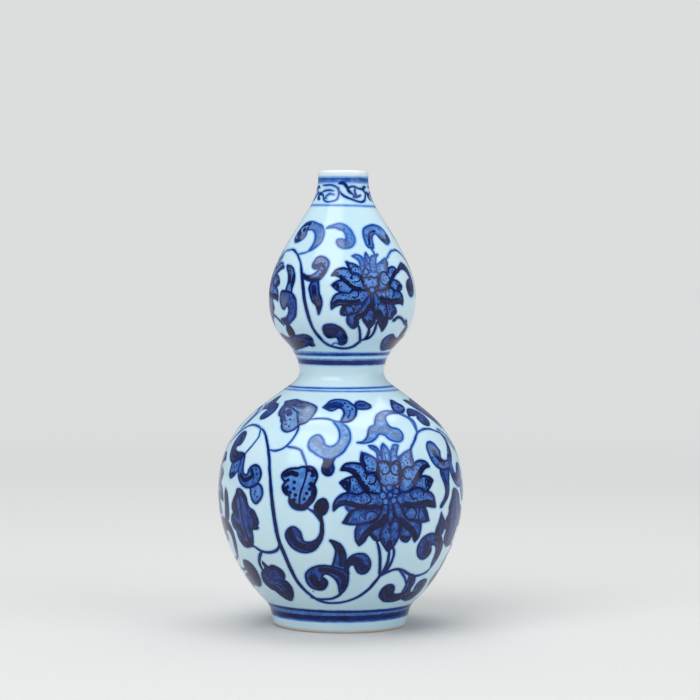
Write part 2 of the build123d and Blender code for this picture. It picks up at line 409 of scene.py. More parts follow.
LOWER_STEMS = [
    # main stem, from the left crest down, round the bottom and up to the flower
    ([(-50, 96.3, 0.6), (-47, 95, 0.6), (-44, 93, 0.6), (-41, 90, 0.7), (-39, 87.5, 0.8), (-37.5, 85, 0.9),
      (-36, 82, 0.9), (-35, 78.5, 0.9), (-34, 75, 0.9), (-33.2, 71, 1.0), (-32.6, 67, 1.1), (-32, 63, 1.2),
      (-31.5, 59, 1.2), (-31, 55, 1.2), (-30.5, 50, 1.2), (-29.8, 46, 1.2), (-28.3, 41, 1.2),
      (-26.8, 35, 1.2), (-25, 29, 1.1), (-22, 24, 1.0), (-18, 20, 1.0), (-14, 17.3, 0.9), (-10, 16.1, 0.9),
      (-6, 15.7, 0.8), (0, 16.1, 0.8), (6, 17.4, 0.8), (12, 20, 0.9), (17, 24, 0.9), (20, 28, 0.9),
      (22, 31, 1.0)], 0.8, 0.9),
    ([(-51, 96), (-49.5, 94), (-48.8, 92), (-49.5, 90), (-51, 87.5), (-53, 85), (-54, 83.5)], 0.5, 0.75),
    ([(-24.8, 99), (-24.6, 96.5), (-25, 94), (-26.5, 91), (-28.5, 88.5), (-31, 87), (-34, 86.3),
      (-38, 86.5)], 0.5, 0.7),
    ([(-20, 102.5), (-17, 103.2), (-13, 103.5), (-9, 103.4), (-6, 102.7), (-3, 101.8),
      (1, 101.5)], 0.6, 0.65),
    ([(-28.5, 88.7), (-26, 88.3), (-23, 88), (-20, 87), (-18.5, 85), (-17, 82.5), (-16, 80.5)], 0.6, 0.65),
    ([(46, 94.7), (47.5, 97.3), (49, 100), (49.4, 102), (48, 104)], 0.7, 0.8),
    ([(-48, 44.3), (-45, 42.8), (-42, 41.7), (-38, 41.5), (-35, 42), (-32, 43.3), (-30.2, 45.5)], 0.8, 0.9),
    ([(-42, 41.5), (-44, 40), (-46, 37.5), (-47, 35), (-46.6, 32.5), (-46, 31)], 1.0, 0.9),
    ([(-14.5, 62.3), (-12.5, 61.3), (-11, 60), (-9.3, 58), (-8.2, 55.5)], 0.7, 0.9),
    # stalks under the flower
    ([(17.5, 48), (19, 44.5), (20, 41), (20.8, 37), (21.5, 33), (22, 31)], 0.8, 0.9),
    ([(24.3, 44.5), (24.7, 41.5), (24.8, 38.5), (24, 35), (22.5, 32), (21, 30)], 0.9, 0.9),
    ([(26, 45.3), (27, 43.5), (27.3, 41), (26.8, 38), (26, 35.5), (24.3, 32.6), (22, 31)], 0.8, 0.9),
    # low crest to the right comma, and the line to its tail
    ([(58.5, 34), (56.5, 31.3), (53.5, 30.3), (50, 29.7), (46, 29.7), (43, 30.3), (41, 31), (38.5, 32),
      (36, 33.2), (33.5, 33.9), (30.5, 34.2), (28, 33.7), (26, 33), (24.3, 32.3), (22, 31)], 0.8, 0.85),
    ([(33, 33.5), (36, 31.5), (38.5, 29.5), (40.5, 27.5), (42, 25.5)], 0.7, 0.8),
    ([(-18.5, 18.9), (-16, 18.4), (-12, 18), (-8, 18.2), (-5, 18.6), (-2, 19.8), (0, 21.2),
      (1.5, 22.8)], 0.8, 0.9),
]

LOWER_LEAVES = [
    # leaf at the top left, dark on its left and greyish on its right
    form([(-50, 113.3), (-45, 114.2), (-40, 114.8), (-37, 114.3), (-33, 113.8), (-28, 113.3), (-22, 112),
        (-18.5, 110.3), (-18, 108), (-18.7, 105), (-20, 102.5), (-22, 100.5), (-24.5, 99.8), (-27, 97),
        (-29, 96), (-31, 95.6), (-34, 96.5), (-36.3, 98.5), (-37, 100), (-39, 101.5), (-41, 103.5),
        (-44, 104.8), (-46, 106.5), (-47.5, 109), (-48, 111.5)], 0.28, 0.85,
        ribs=[[(-44, 110), (-40, 109.8), (-37, 109.3), (-34, 108), (-31, 107), (-29, 104.5), (-27.5, 102.5),
          (-26, 100.5), (-25, 99)]], rib_width=0.6,
        smears=[([(-49.5, 112.3), (-44, 112.6), (-38, 112.8), (-33, 112.2), (-29, 111.6)], 3.4, 1.0),
          ([(-48, 111), (-46, 107.5), (-43, 105.3)], 3.0, 1.0), ([(-39, 107.5), (-36, 105.5)], 2.2, 0.9),
          ([(-40, 103.5), (-38, 102)], 2.0, 0.9)],
        grey=[([(-31, 111), (-25, 110), (-21, 108), (-22, 104), (-24, 102)], 4.5, 0.8),
          ([(-27, 106), (-24, 104)], 3.0, 0.9)],
        dots=[(-33, 102.3), (-34, 99.5), (-31, 98.5), (-29.5, 106.5), (-35.5, 101.5)]),
    # comma at the top, with its leaflet
    form([(10.5, 111.5), (12, 113.7), (15, 114.7), (18, 114.5), (20.5, 113.3), (22.3, 112), (21.5, 110.5),
        (19, 109.7), (15, 109.5), (12, 109.7), (10.8, 110)], 0.6, 0.85,
        smears=[([(13.5, 112), (17.5, 112)], 1.5, 0.8)]),
    form([(-13, 110.5), (-11, 112.5), (-9, 114.5), (-6, 115.5), (-2, 115.8), (2, 115.5), (5, 114.8),
        (8, 113), (10, 111.5), (10.8, 110), (10, 107), (9, 105), (6.5, 102.8), (4, 101.8), (1, 101.6),
        (0, 102), (0.5, 103), (1.5, 105), (2.2, 107), (1.5, 109), (0, 110.1), (-2.5, 110.2), (-5, 109),
        (-7, 108.5), (-10, 109.3)], 0.38, 0.85,
        smears=[([(-11.5, 110.7), (-8, 111.5), (-4, 112.3), (-1.5, 112)], 2.8, 1.0),
          ([(-6, 114.5), (0, 114.6), (5, 113.3)], 1.0, 0.5)],
        dots=[(1.2, 111.7), (4.8, 111), (6, 108.5), (6, 107), (4.5, 104.3), (2.8, 113.3), (8, 109.5),
          (5.3, 105.6)]),
    # dark stub under the middle comma, and the comma
    form([(-8, 84), (-7.6, 82.2), (-8.4, 79.6), (-7.8, 77.4), (-5.8, 76.5), (-3.9, 77.3), (-3.2, 79.6),
        (-3.8, 82), (-2.8, 84)], 0.6, smears=[([(-6, 78.3), (-6.6, 80.5), (-6.2, 83.5)], 1.9, 1.0)]),
    form([(1.5, 100.5), (4, 98), (5, 95), (4.7, 92), (3, 89), (1, 86.5), (-2, 84.5), (-5, 83.5), (-8, 83.8),
        (-11, 85), (-13, 86.2), (-15.5, 87.7), (-16.5, 90), (-15.5, 93), (-12, 94.5), (-9.3, 92.5),
        (-8.3, 90.3), (-7, 89.3), (-5, 89), (-3, 89.7), (-1.2, 91.5), (-0.6, 94), (-1, 97), (-2.5, 99.5),
        (-4.5, 101.5), (-1, 101.7)], 0.23, 0.6, width=0.5, smears=[([(-14, 88), (-10, 86)], 1.0, 0.25)],
        grey=[([(-13.5, 91.5), (-11, 90.5), (-9.5, 89)], 2.4, 0.8),
          ([(-8, 87), (-4, 86.5), (-1, 88.3)], 2.0, 0.8), ([(2, 91), (2.3, 94), (1.5, 97)], 1.8, 0.6)],
        dots=[(-12, 87.3), (-8.5, 85.5), (3.2, 94.5), (0.5, 89.4)], dot_size=0.6),
    # S-shaped curl over the flower on the right
    form([(8.5, 91), (11, 91.3), (13, 92.5), (14.5, 94.5), (15.5, 97), (17, 98.7), (20, 100), (21, 102),
        (24, 105.5), (28, 107.3), (33, 108.2), (37, 108), (41, 107.7), (44, 106.3), (47, 104.3), (49, 102),
        (49, 100), (47.8, 97.5), (46, 94.7), (47, 98.5), (47.3, 100.5), (46.5, 102.8), (44, 104.7),
        (41, 106.2), (37, 106.4), (33, 106), (30, 105), (28.5, 103), (28.3, 101), (29, 99), (31, 98),
        (33.5, 97.5), (35, 96), (35.2, 94.5), (34, 92.3), (31.5, 91), (29, 91.3), (26, 92.5), (24, 94.5),
        (21, 95), (19, 93.3), (16, 91.5), (12, 90.7)], 0.28, 0.65, width=0.5,
        smears=[([(19, 95.5), (23, 96.5), (25, 99)], 1.3, 0.35), ([(34, 107.3), (40, 107)], 0.9, 0.6)],
        grey=[([(17, 96.5), (20, 97.5), (24, 97)], 2.6, 0.9), ([(24, 103), (28, 106)], 2.4, 0.9),
          ([(26, 98), (30, 95.5), (32.5, 93.5)], 2.6, 0.8), ([(12, 91.8), (15, 93.5)], 1.4, 0.5)]),
    form([(40, 108.5), (41, 111), (43.5, 113.5), (45.5, 114.7), (47.5, 114.2), (49.5, 112.5), (52, 111),
        (51.5, 109.5), (50, 108.5), (44, 106.5)], 0.5,
        smears=[([(44, 113), (47, 113), (50.5, 110.8)], 1.6, 1.0)], dots=[(46, 110)],
        repeats=FRONT_AND_RIGHT),
    form([(49, 104.3), (50.5, 106), (53, 107.7), (57, 108.5), (61, 107.8), (65, 106), (66.7, 103.5),
        (66, 100.8), (63.5, 99), (60, 98.3), (57, 99.2), (55.5, 101), (55.5, 102.3), (57.5, 103.7),
        (57, 104.9), (54, 104.5), (51.5, 104.7)], 0.6,
        smears=[([(51, 105), (56, 106.7), (62, 106), (64.5, 103), (61, 100)], 2.3, 0.9)],
        repeats=FRONT_AND_RIGHT),
    # big comma on the right and the leaf that hangs from it
    form([(54, 77.5), (54, 75), (55, 73), (56.3, 70.5), (56.7, 67.5), (55.5, 65), (53.5, 63), (52.5, 61.7),
        (53.5, 61.5), (56, 63.5), (58.5, 65.8), (59.8, 69), (60, 72), (61, 75), (62, 77.3)], 0.5, 0.9,
        smears=[([(55, 76), (57, 73), (58, 69), (56, 64.5)], 1.1, 0.7)], repeats=FRONT_AND_RIGHT),
    form([(48.4, 84.5), (48.3, 87), (50, 89.5), (53, 90.1), (55.5, 89), (57, 87), (57.9, 85.5), (57, 84),
        (57, 82.3), (59, 81), (62, 80.9), (64.5, 81.8), (67, 83.5), (69, 86), (70, 88.5), (70, 91),
        (69, 93.7), (71, 92), (71.7, 89), (71, 86), (69.5, 83.5), (67.5, 81.3), (65.5, 79.3), (62, 77.8),
        (58, 77.3), (54.5, 77.8), (51, 79.5), (49, 82)], 0.36, 0.85,
        smears=[([(52.5, 85.5), (54.5, 82.5), (58, 80)], 1.9, 0.95),
          ([(68, 82.5), (70.7, 86), (71, 91)], 1.4, 0.95)],
        grey=[([(51, 87), (54.5, 85.5)], 2.6, 0.9), ([(56, 79.3), (62, 79.3)], 1.8, 0.7)],
        dots=[(50, 83), (58, 79), (53, 79.8)], repeats=FRONT_AND_RIGHT),
    # comma and oval at the left edge
    form([(-45.5, 70), (-45, 67), (-44, 64.7), (-42, 63.2), (-40, 64), (-38, 66.5), (-37.8, 68.5),
        (-38.7, 70.5), (-40.5, 71.5)], 0.32, 0.85, dots=[(-42.5, 67), (-42, 68.3), (-41, 66)],
        dot_size=0.9),
    form([(-54, 83.6), (-55.5, 82), (-56, 79), (-55.7, 75), (-54, 72.5), (-52, 70.8), (-49, 69.7),
        (-45, 69.8), (-42, 71), (-40, 73.5), (-39.6, 76), (-41, 78.3), (-43.5, 79.3), (-46, 78.8),
        (-48, 77), (-48.3, 75.2), (-50, 74.8), (-51.5, 75.5), (-52.5, 78), (-53.3, 82)], 0.42, 0.9,
        smears=[([(-53.5, 74.5), (-50, 72.5), (-46, 74)], 1.6, 0.8), ([(-46, 77), (-44.5, 75)], 1.6, 0.8)],
        dots=[(-44, 73.7), (-42.4, 75.7), (-43, 77.4)]),
    # long leaf at the left with dark lobes
    form([(-55.5, 68), (-53, 68.3), (-50, 67), (-48, 65), (-47.2, 62.5), (-46, 61), (-43, 59.5),
        (-41.5, 57), (-41, 55), (-42, 53.2), (-41.3, 52.6), (-43, 52), (-45.5, 51.5), (-46, 49),
        (-46.7, 46), (-48, 44.2), (-51, 43.2), (-55, 43.2), (-57.5, 45), (-58.5, 47.5), (-58.7, 50),
        (-61, 51.5), (-62, 54), (-60.7, 56.5), (-59, 58), (-60, 60), (-59, 62.5), (-57, 65), (-55.7, 67)],
        0.5, ribs=[[(-53.5, 66), (-52.5, 62), (-52, 57), (-51, 51), (-49.5, 46), (-48, 43.8)]],
        rib_width=0.9,
        smears=[([(-54.8, 67), (-56.5, 63.5), (-57, 59.5), (-55.5, 57)], 1.9, 1.0),
          ([(-60, 55.5), (-58, 52.5), (-55, 51.5), (-53.5, 48)], 1.9, 1.0),
          ([(-51.5, 66.5), (-49, 64.5), (-47.5, 61.5)], 1.5, 0.9),
          ([(-45, 58.5), (-43, 56), (-43.5, 54)], 1.9, 1.0),
          ([(-56, 47), (-54, 44.8), (-50, 44.8), (-48, 46.5)], 1.6, 1.0),
          ([(-47.5, 53), (-47.5, 50)], 1.3, 0.8)], dots=[(-54.5, 53), (-48.5, 55), (-54.8, 59)]),
    # rounded leaf with dots, in the middle
    form([(-16, 79.8), (-18, 79.8), (-20, 79.2), (-24, 78.7), (-26.5, 77.5), (-27.8, 75.7), (-26.8, 74),
        (-25.5, 73.2), (-26.8, 71.5), (-26.5, 69.5), (-25, 68), (-23.5, 67.5), (-23.5, 65), (-22.3, 63),
        (-20, 61.9), (-17, 61.8), (-15, 62.5), (-14.3, 63.5), (-12.5, 65.3), (-11.3, 67.5), (-11, 70),
        (-11.8, 72.5), (-11.5, 73.5), (-10.7, 75.5), (-11, 77.5), (-12.5, 79.3), (-14.5, 80)], 0.33,
        ribs=[[(-15.8, 80), (-15.8, 76), (-16.8, 72.5), (-18, 69), (-18.5, 66), (-18.5, 64)]],
        rib_width=0.6,
        smears=[([(-22.5, 65), (-20.5, 63.3), (-17, 62.8), (-14.6, 64.3), (-13, 66.5)], 1.8, 1.0),
          ([(-26.3, 76), (-23.3, 77), (-20.5, 76.5)], 1.7, 0.9),
          ([(-12.2, 67.5), (-12.2, 71), (-13.3, 72.7)], 1.5, 0.95),
          ([(-25.9, 70.5), (-24.8, 69)], 1.4, 0.9), ([(-12, 76.5), (-13.2, 78.2)], 1.3, 0.8)],
        dots=[(-24.8, 76.8), (-23.5, 76.7), (-22, 77), (-24.5, 74), (-21.3, 73.2), (-24.5, 71),
          (-21.3, 70.5), (-23, 68.8), (-20.5, 67.8), (-13, 76.2), (-13.8, 72.7), (-15.2, 68.7),
          (-14.7, 78.4), (-14, 70.5), (-16.3, 66.3), (-21, 65.8)], dot_size=1.5),
    form([(-11.5, 62), (-11, 64), (-9.5, 65.8), (-7.5, 66.5), (-6, 65.5), (-5.5, 63), (-6.5, 60.8),
        (-8.5, 59.5), (-10, 59.3)], 0.75, smears=[([(-9.3, 61.5), (-7.8, 64.5)], 1.8, 0.6)]),
    form([(-8.4, 59), (-8.6, 55), (-9, 52), (-10.3, 49.5), (-12.5, 48), (-15, 47.4), (-17.3, 48),
        (-18, 49.5), (-18.5, 51.8), (-20.5, 53.8), (-22.5, 54), (-25, 52.5), (-26, 50), (-25, 47),
        (-22.5, 44.3), (-19, 42.8), (-15, 43), (-12, 44.5), (-9.5, 47.5), (-8, 51), (-7.8, 55)], 0.5,
        smears=[([(-24, 53.5), (-23, 49.5), (-20.5, 46.5), (-15, 45), (-11, 46.5), (-9, 51)], 2.3, 1.0),
          ([(-17, 45), (-12.5, 46.3), (-10.2, 49.5)], 1.0, 0.7)], dots=[(-16, 46.2), (-13, 46.6)]),
    # leaf and comma at the right edge
    form([(53.5, 58.8), (55, 57), (57, 55), (58.3, 52.5), (57.3, 49.5), (55, 48.4), (52, 49), (51.3, 52),
        (52.5, 55)], 0.55, smears=[([(53.5, 57), (54, 53), (53, 50.5)], 1.5, 0.8)],
        repeats=FRONT_AND_RIGHT),
    form([(58.5, 33.3), (60.5, 36), (61.8, 39), (61.5, 42.5), (59.5, 45.5), (56.5, 48), (53, 49.3),
        (49, 50), (46, 49.7), (43, 48.5), (41.5, 46.5), (41, 44.5), (41.3, 42.5), (42.5, 40.5), (44.5, 39),
        (47, 38.3), (49.5, 38.7), (51.3, 40.3), (51.5, 42), (50.5, 43.5), (50.5, 44.4), (52, 45),
        (54, 44.3), (55.5, 43), (56.5, 41), (56.8, 38.5), (56.8, 36), (57.3, 34.3)], 0.5,
        smears=[([(47, 45), (47.5, 42), (49.5, 41)], 2.8, 1.0),
          ([(52.5, 47.3), (56.5, 46), (59, 42), (59.3, 38)], 1.7, 0.85)], dots=[(44, 44), (45, 47.5)],
        repeats=FRONT_AND_RIGHT),
    # low curl under the middle, with a leaf and a small comma
    form([(3, 34.5), (2.6, 37), (2.8, 40), (2.5, 42.5), (1.5, 45), (0, 47), (-2, 48), (-4.5, 48.6),
        (-2.7, 46.3), (-1.9, 44), (-2.3, 41), (-3, 38.5), (-4, 36), (-1, 34.5)], 0.42,
        smears=[([(-2.5, 47.3), (-0.5, 45), (1, 41.5), (1, 37.5)], 2.1, 1.0)]),
    form([(3, 32.5), (2.8, 36), (3.5, 38.5), (5, 40.8), (7.5, 42.2), (10, 42.6), (12.5, 42), (14.5, 40),
        (15.5, 37.5), (15.3, 35), (14, 33.2), (11.5, 32.7), (9.5, 33.6), (8.3, 35.5), (7.5, 37), (6, 37.4),
        (4.8, 36.8), (4.2, 35), (4.6, 32.5)], 0.45,
        smears=[([(3.8, 37.5), (6, 39.6), (9, 39), (11, 36.3), (13, 35)], 2.6, 1.0)]),
    form([(1.5, 22.5), (3, 24.5), (4.2, 27), (4.5, 30), (4, 32.5), (2.5, 34.2), (0, 35.3), (-3, 36),
        (-6, 36.5), (-9, 36.6), (-13, 35.8), (-16, 34.3), (-18.3, 32), (-18.8, 29.5), (-18.3, 27),
        (-16.5, 25), (-14, 24), (-11, 23.8), (-8.8, 24.8), (-7.3, 26.8), (-7.3, 28.8), (-8.5, 30),
        (-9.8, 31), (-8, 32.6), (-6, 32.3), (-4, 31.3), (-2, 29.5), (-0.8, 27.5), (-0.3, 25), (0.2, 22.5)],
        0.45,
        smears=[([(-14.5, 30.5), (-13.5, 27.3), (-10.5, 25.8), (-9, 28)], 2.9, 1.0),
          ([(-10, 34.6), (-4, 34), (0.5, 32), (2.6, 28.5), (2, 25)], 2.0, 0.95)],
        dots=[(-16, 30), (-14.5, 26.5), (-15.2, 33)]),
    # leaf at the bottom left
    form([(-46.3, 31.8), (-48.5, 30), (-50.3, 27), (-50, 24.5), (-47.5, 22.3), (-44, 21), (-42, 19),
        (-39.5, 17.2), (-36.5, 16), (-34.5, 16.3), (-32, 18.5), (-30.3, 21.5), (-30, 24.5), (-31.3, 27),
        (-33, 28.2), (-32, 29.8), (-31.8, 31.5), (-33, 33.5), (-36, 34.8), (-38.5, 34.9), (-41, 34.2),
        (-44, 36.3), (-44.3, 35.5), (-43.5, 34), (-44.5, 32.5)], 0.55,
        ribs=[[(-45.5, 31), (-43, 29), (-41, 27.5), (-39.5, 27), (-37.5, 28), (-34.5, 28.2)], [(-47, 24.8),
          (-44, 24.5), (-41, 25), (-38, 24), (-36, 21), (-35, 18)]],
        smears=[([(-48.5, 27), (-47, 23.8), (-43, 22.6), (-39.5, 19.5)], 2.4, 1.0),
          ([(-36.5, 18), (-33.5, 20.5), (-32, 24), (-34, 26.5)], 2.6, 1.0),
          ([(-40, 33.5), (-36, 33.8), (-33.4, 31.5)], 1.6, 0.95), ([(-46, 31), (-44, 29.5)], 1.4, 0.9)],
        dots=[(-38.8, 31.5), (-40.5, 22.6)], dot_size=1.2),
    # low leaves at the bottom right
    form([(41.5, 30.6), (44, 30.4), (46.9, 28.7), (48.6, 25.6), (48.3, 22.5), (50, 20.3), (53.2, 19.4),
        (53, 21.5), (52.4, 23.5), (53, 25.3), (55, 26.3), (58.2, 26.6), (61.5, 25.8), (63.4, 23.2),
        (63.7, 20), (62, 17), (58.2, 15.2), (53.2, 15), (48.2, 16.2), (44.8, 17.5), (42.5, 20.5),
        (42.4, 24), (42.2, 27)], 0.48,
        smears=[([(44.5, 28.5), (46, 25), (45.8, 20.5)], 1.8, 0.9),
          ([(50, 17.8), (56, 18), (60.5, 20.5), (57.5, 23.8)], 2.6, 0.98)], dots=[(43.6, 28.6)],
        repeats=FRONT_AND_RIGHT),
    form([(25.5, 21.5), (25.8, 23.5), (27, 25.2), (29, 26), (31, 26), (33, 25), (34.3, 23), (35, 21),
        (37, 20), (40, 20), (43.5, 20.6), (46, 19), (47, 17.3), (44, 16.2), (40, 15.5), (37, 15.5),
        (33.5, 15.8), (30.5, 16.5), (28, 18), (26, 19.5)], 0.6,
        smears=[([(28.5, 23.5), (31, 21.5), (34, 18.5), (40, 18)], 2.2, 0.95)]),
]

# what hangs in the gap between two turns of the pattern differs from gap to gap
RIGHT_STEMS = [
    # crest between two turns of the pattern
    ([(36.5, 85), (37, 87.3), (40, 90), (43, 92.5), (46, 94.8), (50, 96), (55, 96.6), (60, 96.3), (65, 95),
      (68.5, 94), (72, 92), (76, 88), (79, 85)], 0.6, 0.75),
]

EDGE_STEMS = [
    ([(31.2, 187.2), (32.5, 187.9), (34.2, 188.3)], 0.7, 0.65),
    ([(31.2, 187), (30.5, 189), (29, 190.6), (27.5, 191.8)], 0.6, 0.6),
    ([(-47, 188.2), (-44, 188.1), (-40, 188.4), (-36, 188.9), (-32, 189.9)], 0.5, 0.55),
    ([(-50, 96), (-54, 97.2), (-60, 97.8), (-65, 97.2), (-70, 94.8), (-74, 92), (-79, 88)], 0.6, 0.7),
    ([(-77, 90), (-74, 93.3), (-71.5, 97), (-70.3, 100), (-70, 104), (-71, 107.5), (-74, 109.5),
      (-79, 110.6)], 0.7, 0.55),
    ([(-66, 40), (-68, 37.6), (-70.5, 36.2), (-76, 34.9), (-84, 33.6)], 0.8, 0.9),
]

EDGE_LEAVES = [
    form([(64.5, 68.3), (68.5, 67.3), (71.5, 64), (73.5, 60), (77, 57.5), (79, 55), (77, 52.3), (74.5, 51),
        (73, 47), (70, 44.2), (65.5, 43.6), (61.8, 45.3), (60.5, 49), (61.3, 53), (60, 56.5), (61.3, 61),
        (62.8, 65.3)], 0.5, ribs=[[(66, 66.5), (67, 60), (67.5, 52), (67.5, 46)]], rib_width=0.9,
        smears=[([(65, 67), (62.8, 62), (62, 56), (63, 50), (65, 45.5)], 1.8, 1.0),
          ([(70.5, 64), (73.5, 58.5), (75.5, 54.5), (71.5, 48)], 1.5, 1.0)]),
    form([(62, 114), (67, 114), (72, 112), (76, 109), (79, 105), (80.5, 100), (80, 96), (77, 98), (73, 102),
        (69, 106), (65, 110)], 0.6, smears=[([(66, 112.5), (71, 109.5), (75, 105), (78, 100)], 2.0, 0.98)]),
    form([(-72.5, 111), (-71.5, 113.8), (-69.5, 115.8), (-67, 116.3), (-65, 115), (-63.3, 113),
        (-62, 111.3), (-65, 110.6), (-69, 110.4)], 0.62,
        smears=[([(-69, 114), (-66, 113.8), (-64.5, 112.3)], 1.9, 0.9)]),
    form([(-71, 109), (-69, 110.6), (-65, 111), (-61, 111.3), (-57, 111.2), (-54.5, 110.2), (-52.7, 108.3),
        (-52, 106), (-52.8, 103.7), (-55, 102), (-58, 101.6), (-60.4, 102.3), (-61.6, 104), (-61.5, 106),
        (-60.2, 107.6), (-62.5, 107.9), (-66, 107.8), (-69.5, 107.3)], 0.62,
        smears=[([(-59.5, 105), (-57.5, 103.3), (-54.5, 104)], 1.9, 0.95),
          ([(-66, 109.3), (-60, 109.7), (-56, 109)], 1.3, 0.9)]),
    form([(-63.6, 80), (-63.8, 76.5), (-64, 74), (-62.6, 72.8), (-60, 73.6), (-57.5, 75.4), (-55.9, 77.5),
        (-55.5, 79.5), (-57, 81), (-60.5, 80.3)], 0.38, 0.85,
        smears=[([(-62.8, 74), (-59.5, 75)], 1.2, 0.9)], dots=[(-60.5, 77.5), (-58.3, 78.3), (-61.5, 78.8)],
        dot_size=1.1),
    form([(-54, 83.6), (-55.5, 82.2), (-58, 81), (-61, 79.9), (-64.5, 79.7), (-67.5, 81), (-70, 83.5),
        (-71.1, 86.5), (-70.6, 90), (-69, 92.4), (-66.5, 93.6), (-64, 93.5), (-62, 92.5), (-61, 90.5),
        (-61.1, 88.8), (-62.3, 87.6), (-64.5, 87), (-65.3, 86), (-64, 84.6), (-61, 83.9), (-57.5, 84)],
        0.62,
        smears=[([(-66, 91.5), (-64, 89.8)], 2.0, 0.95),
          ([(-69, 88), (-68, 84.5), (-64, 82), (-59, 82.4)], 1.5, 0.9)],
        dots=[(-66.8, 87.5), (-66.3, 84.8), (-62, 82)]),
    form([(-67.3, 67.6), (-65, 66), (-64, 62), (-64, 58.5), (-65.3, 55), (-68.5, 53.4), (-70, 54),
        (-68.8, 57), (-67.9, 61), (-68, 65)], 0.62,
        smears=[([(-66.5, 65.5), (-65.8, 61), (-66.3, 57.5)], 1.5, 0.95)]),
    form([(-79, 53), (-75, 54.3), (-71, 53.8), (-67.5, 53.3), (-64.5, 51.3), (-63.2, 48.5), (-63.3, 45),
        (-64.6, 41.7), (-67, 38.8), (-69.5, 37), (-67.9, 40.8), (-66.4, 44.5), (-66.4, 47), (-68, 48.9),
        (-71, 49.6), (-74, 48.7), (-73.5, 46.5), (-75, 44.2), (-78, 44), (-81, 46), (-82, 50)], 0.62,
        smears=[([(-77, 47), (-77.5, 50.5)], 2.4, 0.98),
          ([(-72, 52), (-67, 51), (-64.8, 47), (-65, 43)], 1.5, 0.85)]),
    form([(-65, 31.5), (-64.3, 33.2), (-62.5, 35), (-59.5, 35.5), (-56, 34.9), (-53.5, 32.8), (-52.6, 29.8),
        (-53.3, 26.7), (-55.3, 24.2), (-58, 22.9), (-62, 22.2), (-66, 22.8), (-72, 21), (-78, 20),
        (-84, 19.5), (-84, 24), (-76, 25.5), (-71, 27.3), (-67, 28), (-64, 29.2)], 0.6,
        smears=[([(-62, 32.5), (-58, 32), (-56, 28.5), (-60, 25.5)], 2.8, 0.98)]),
]

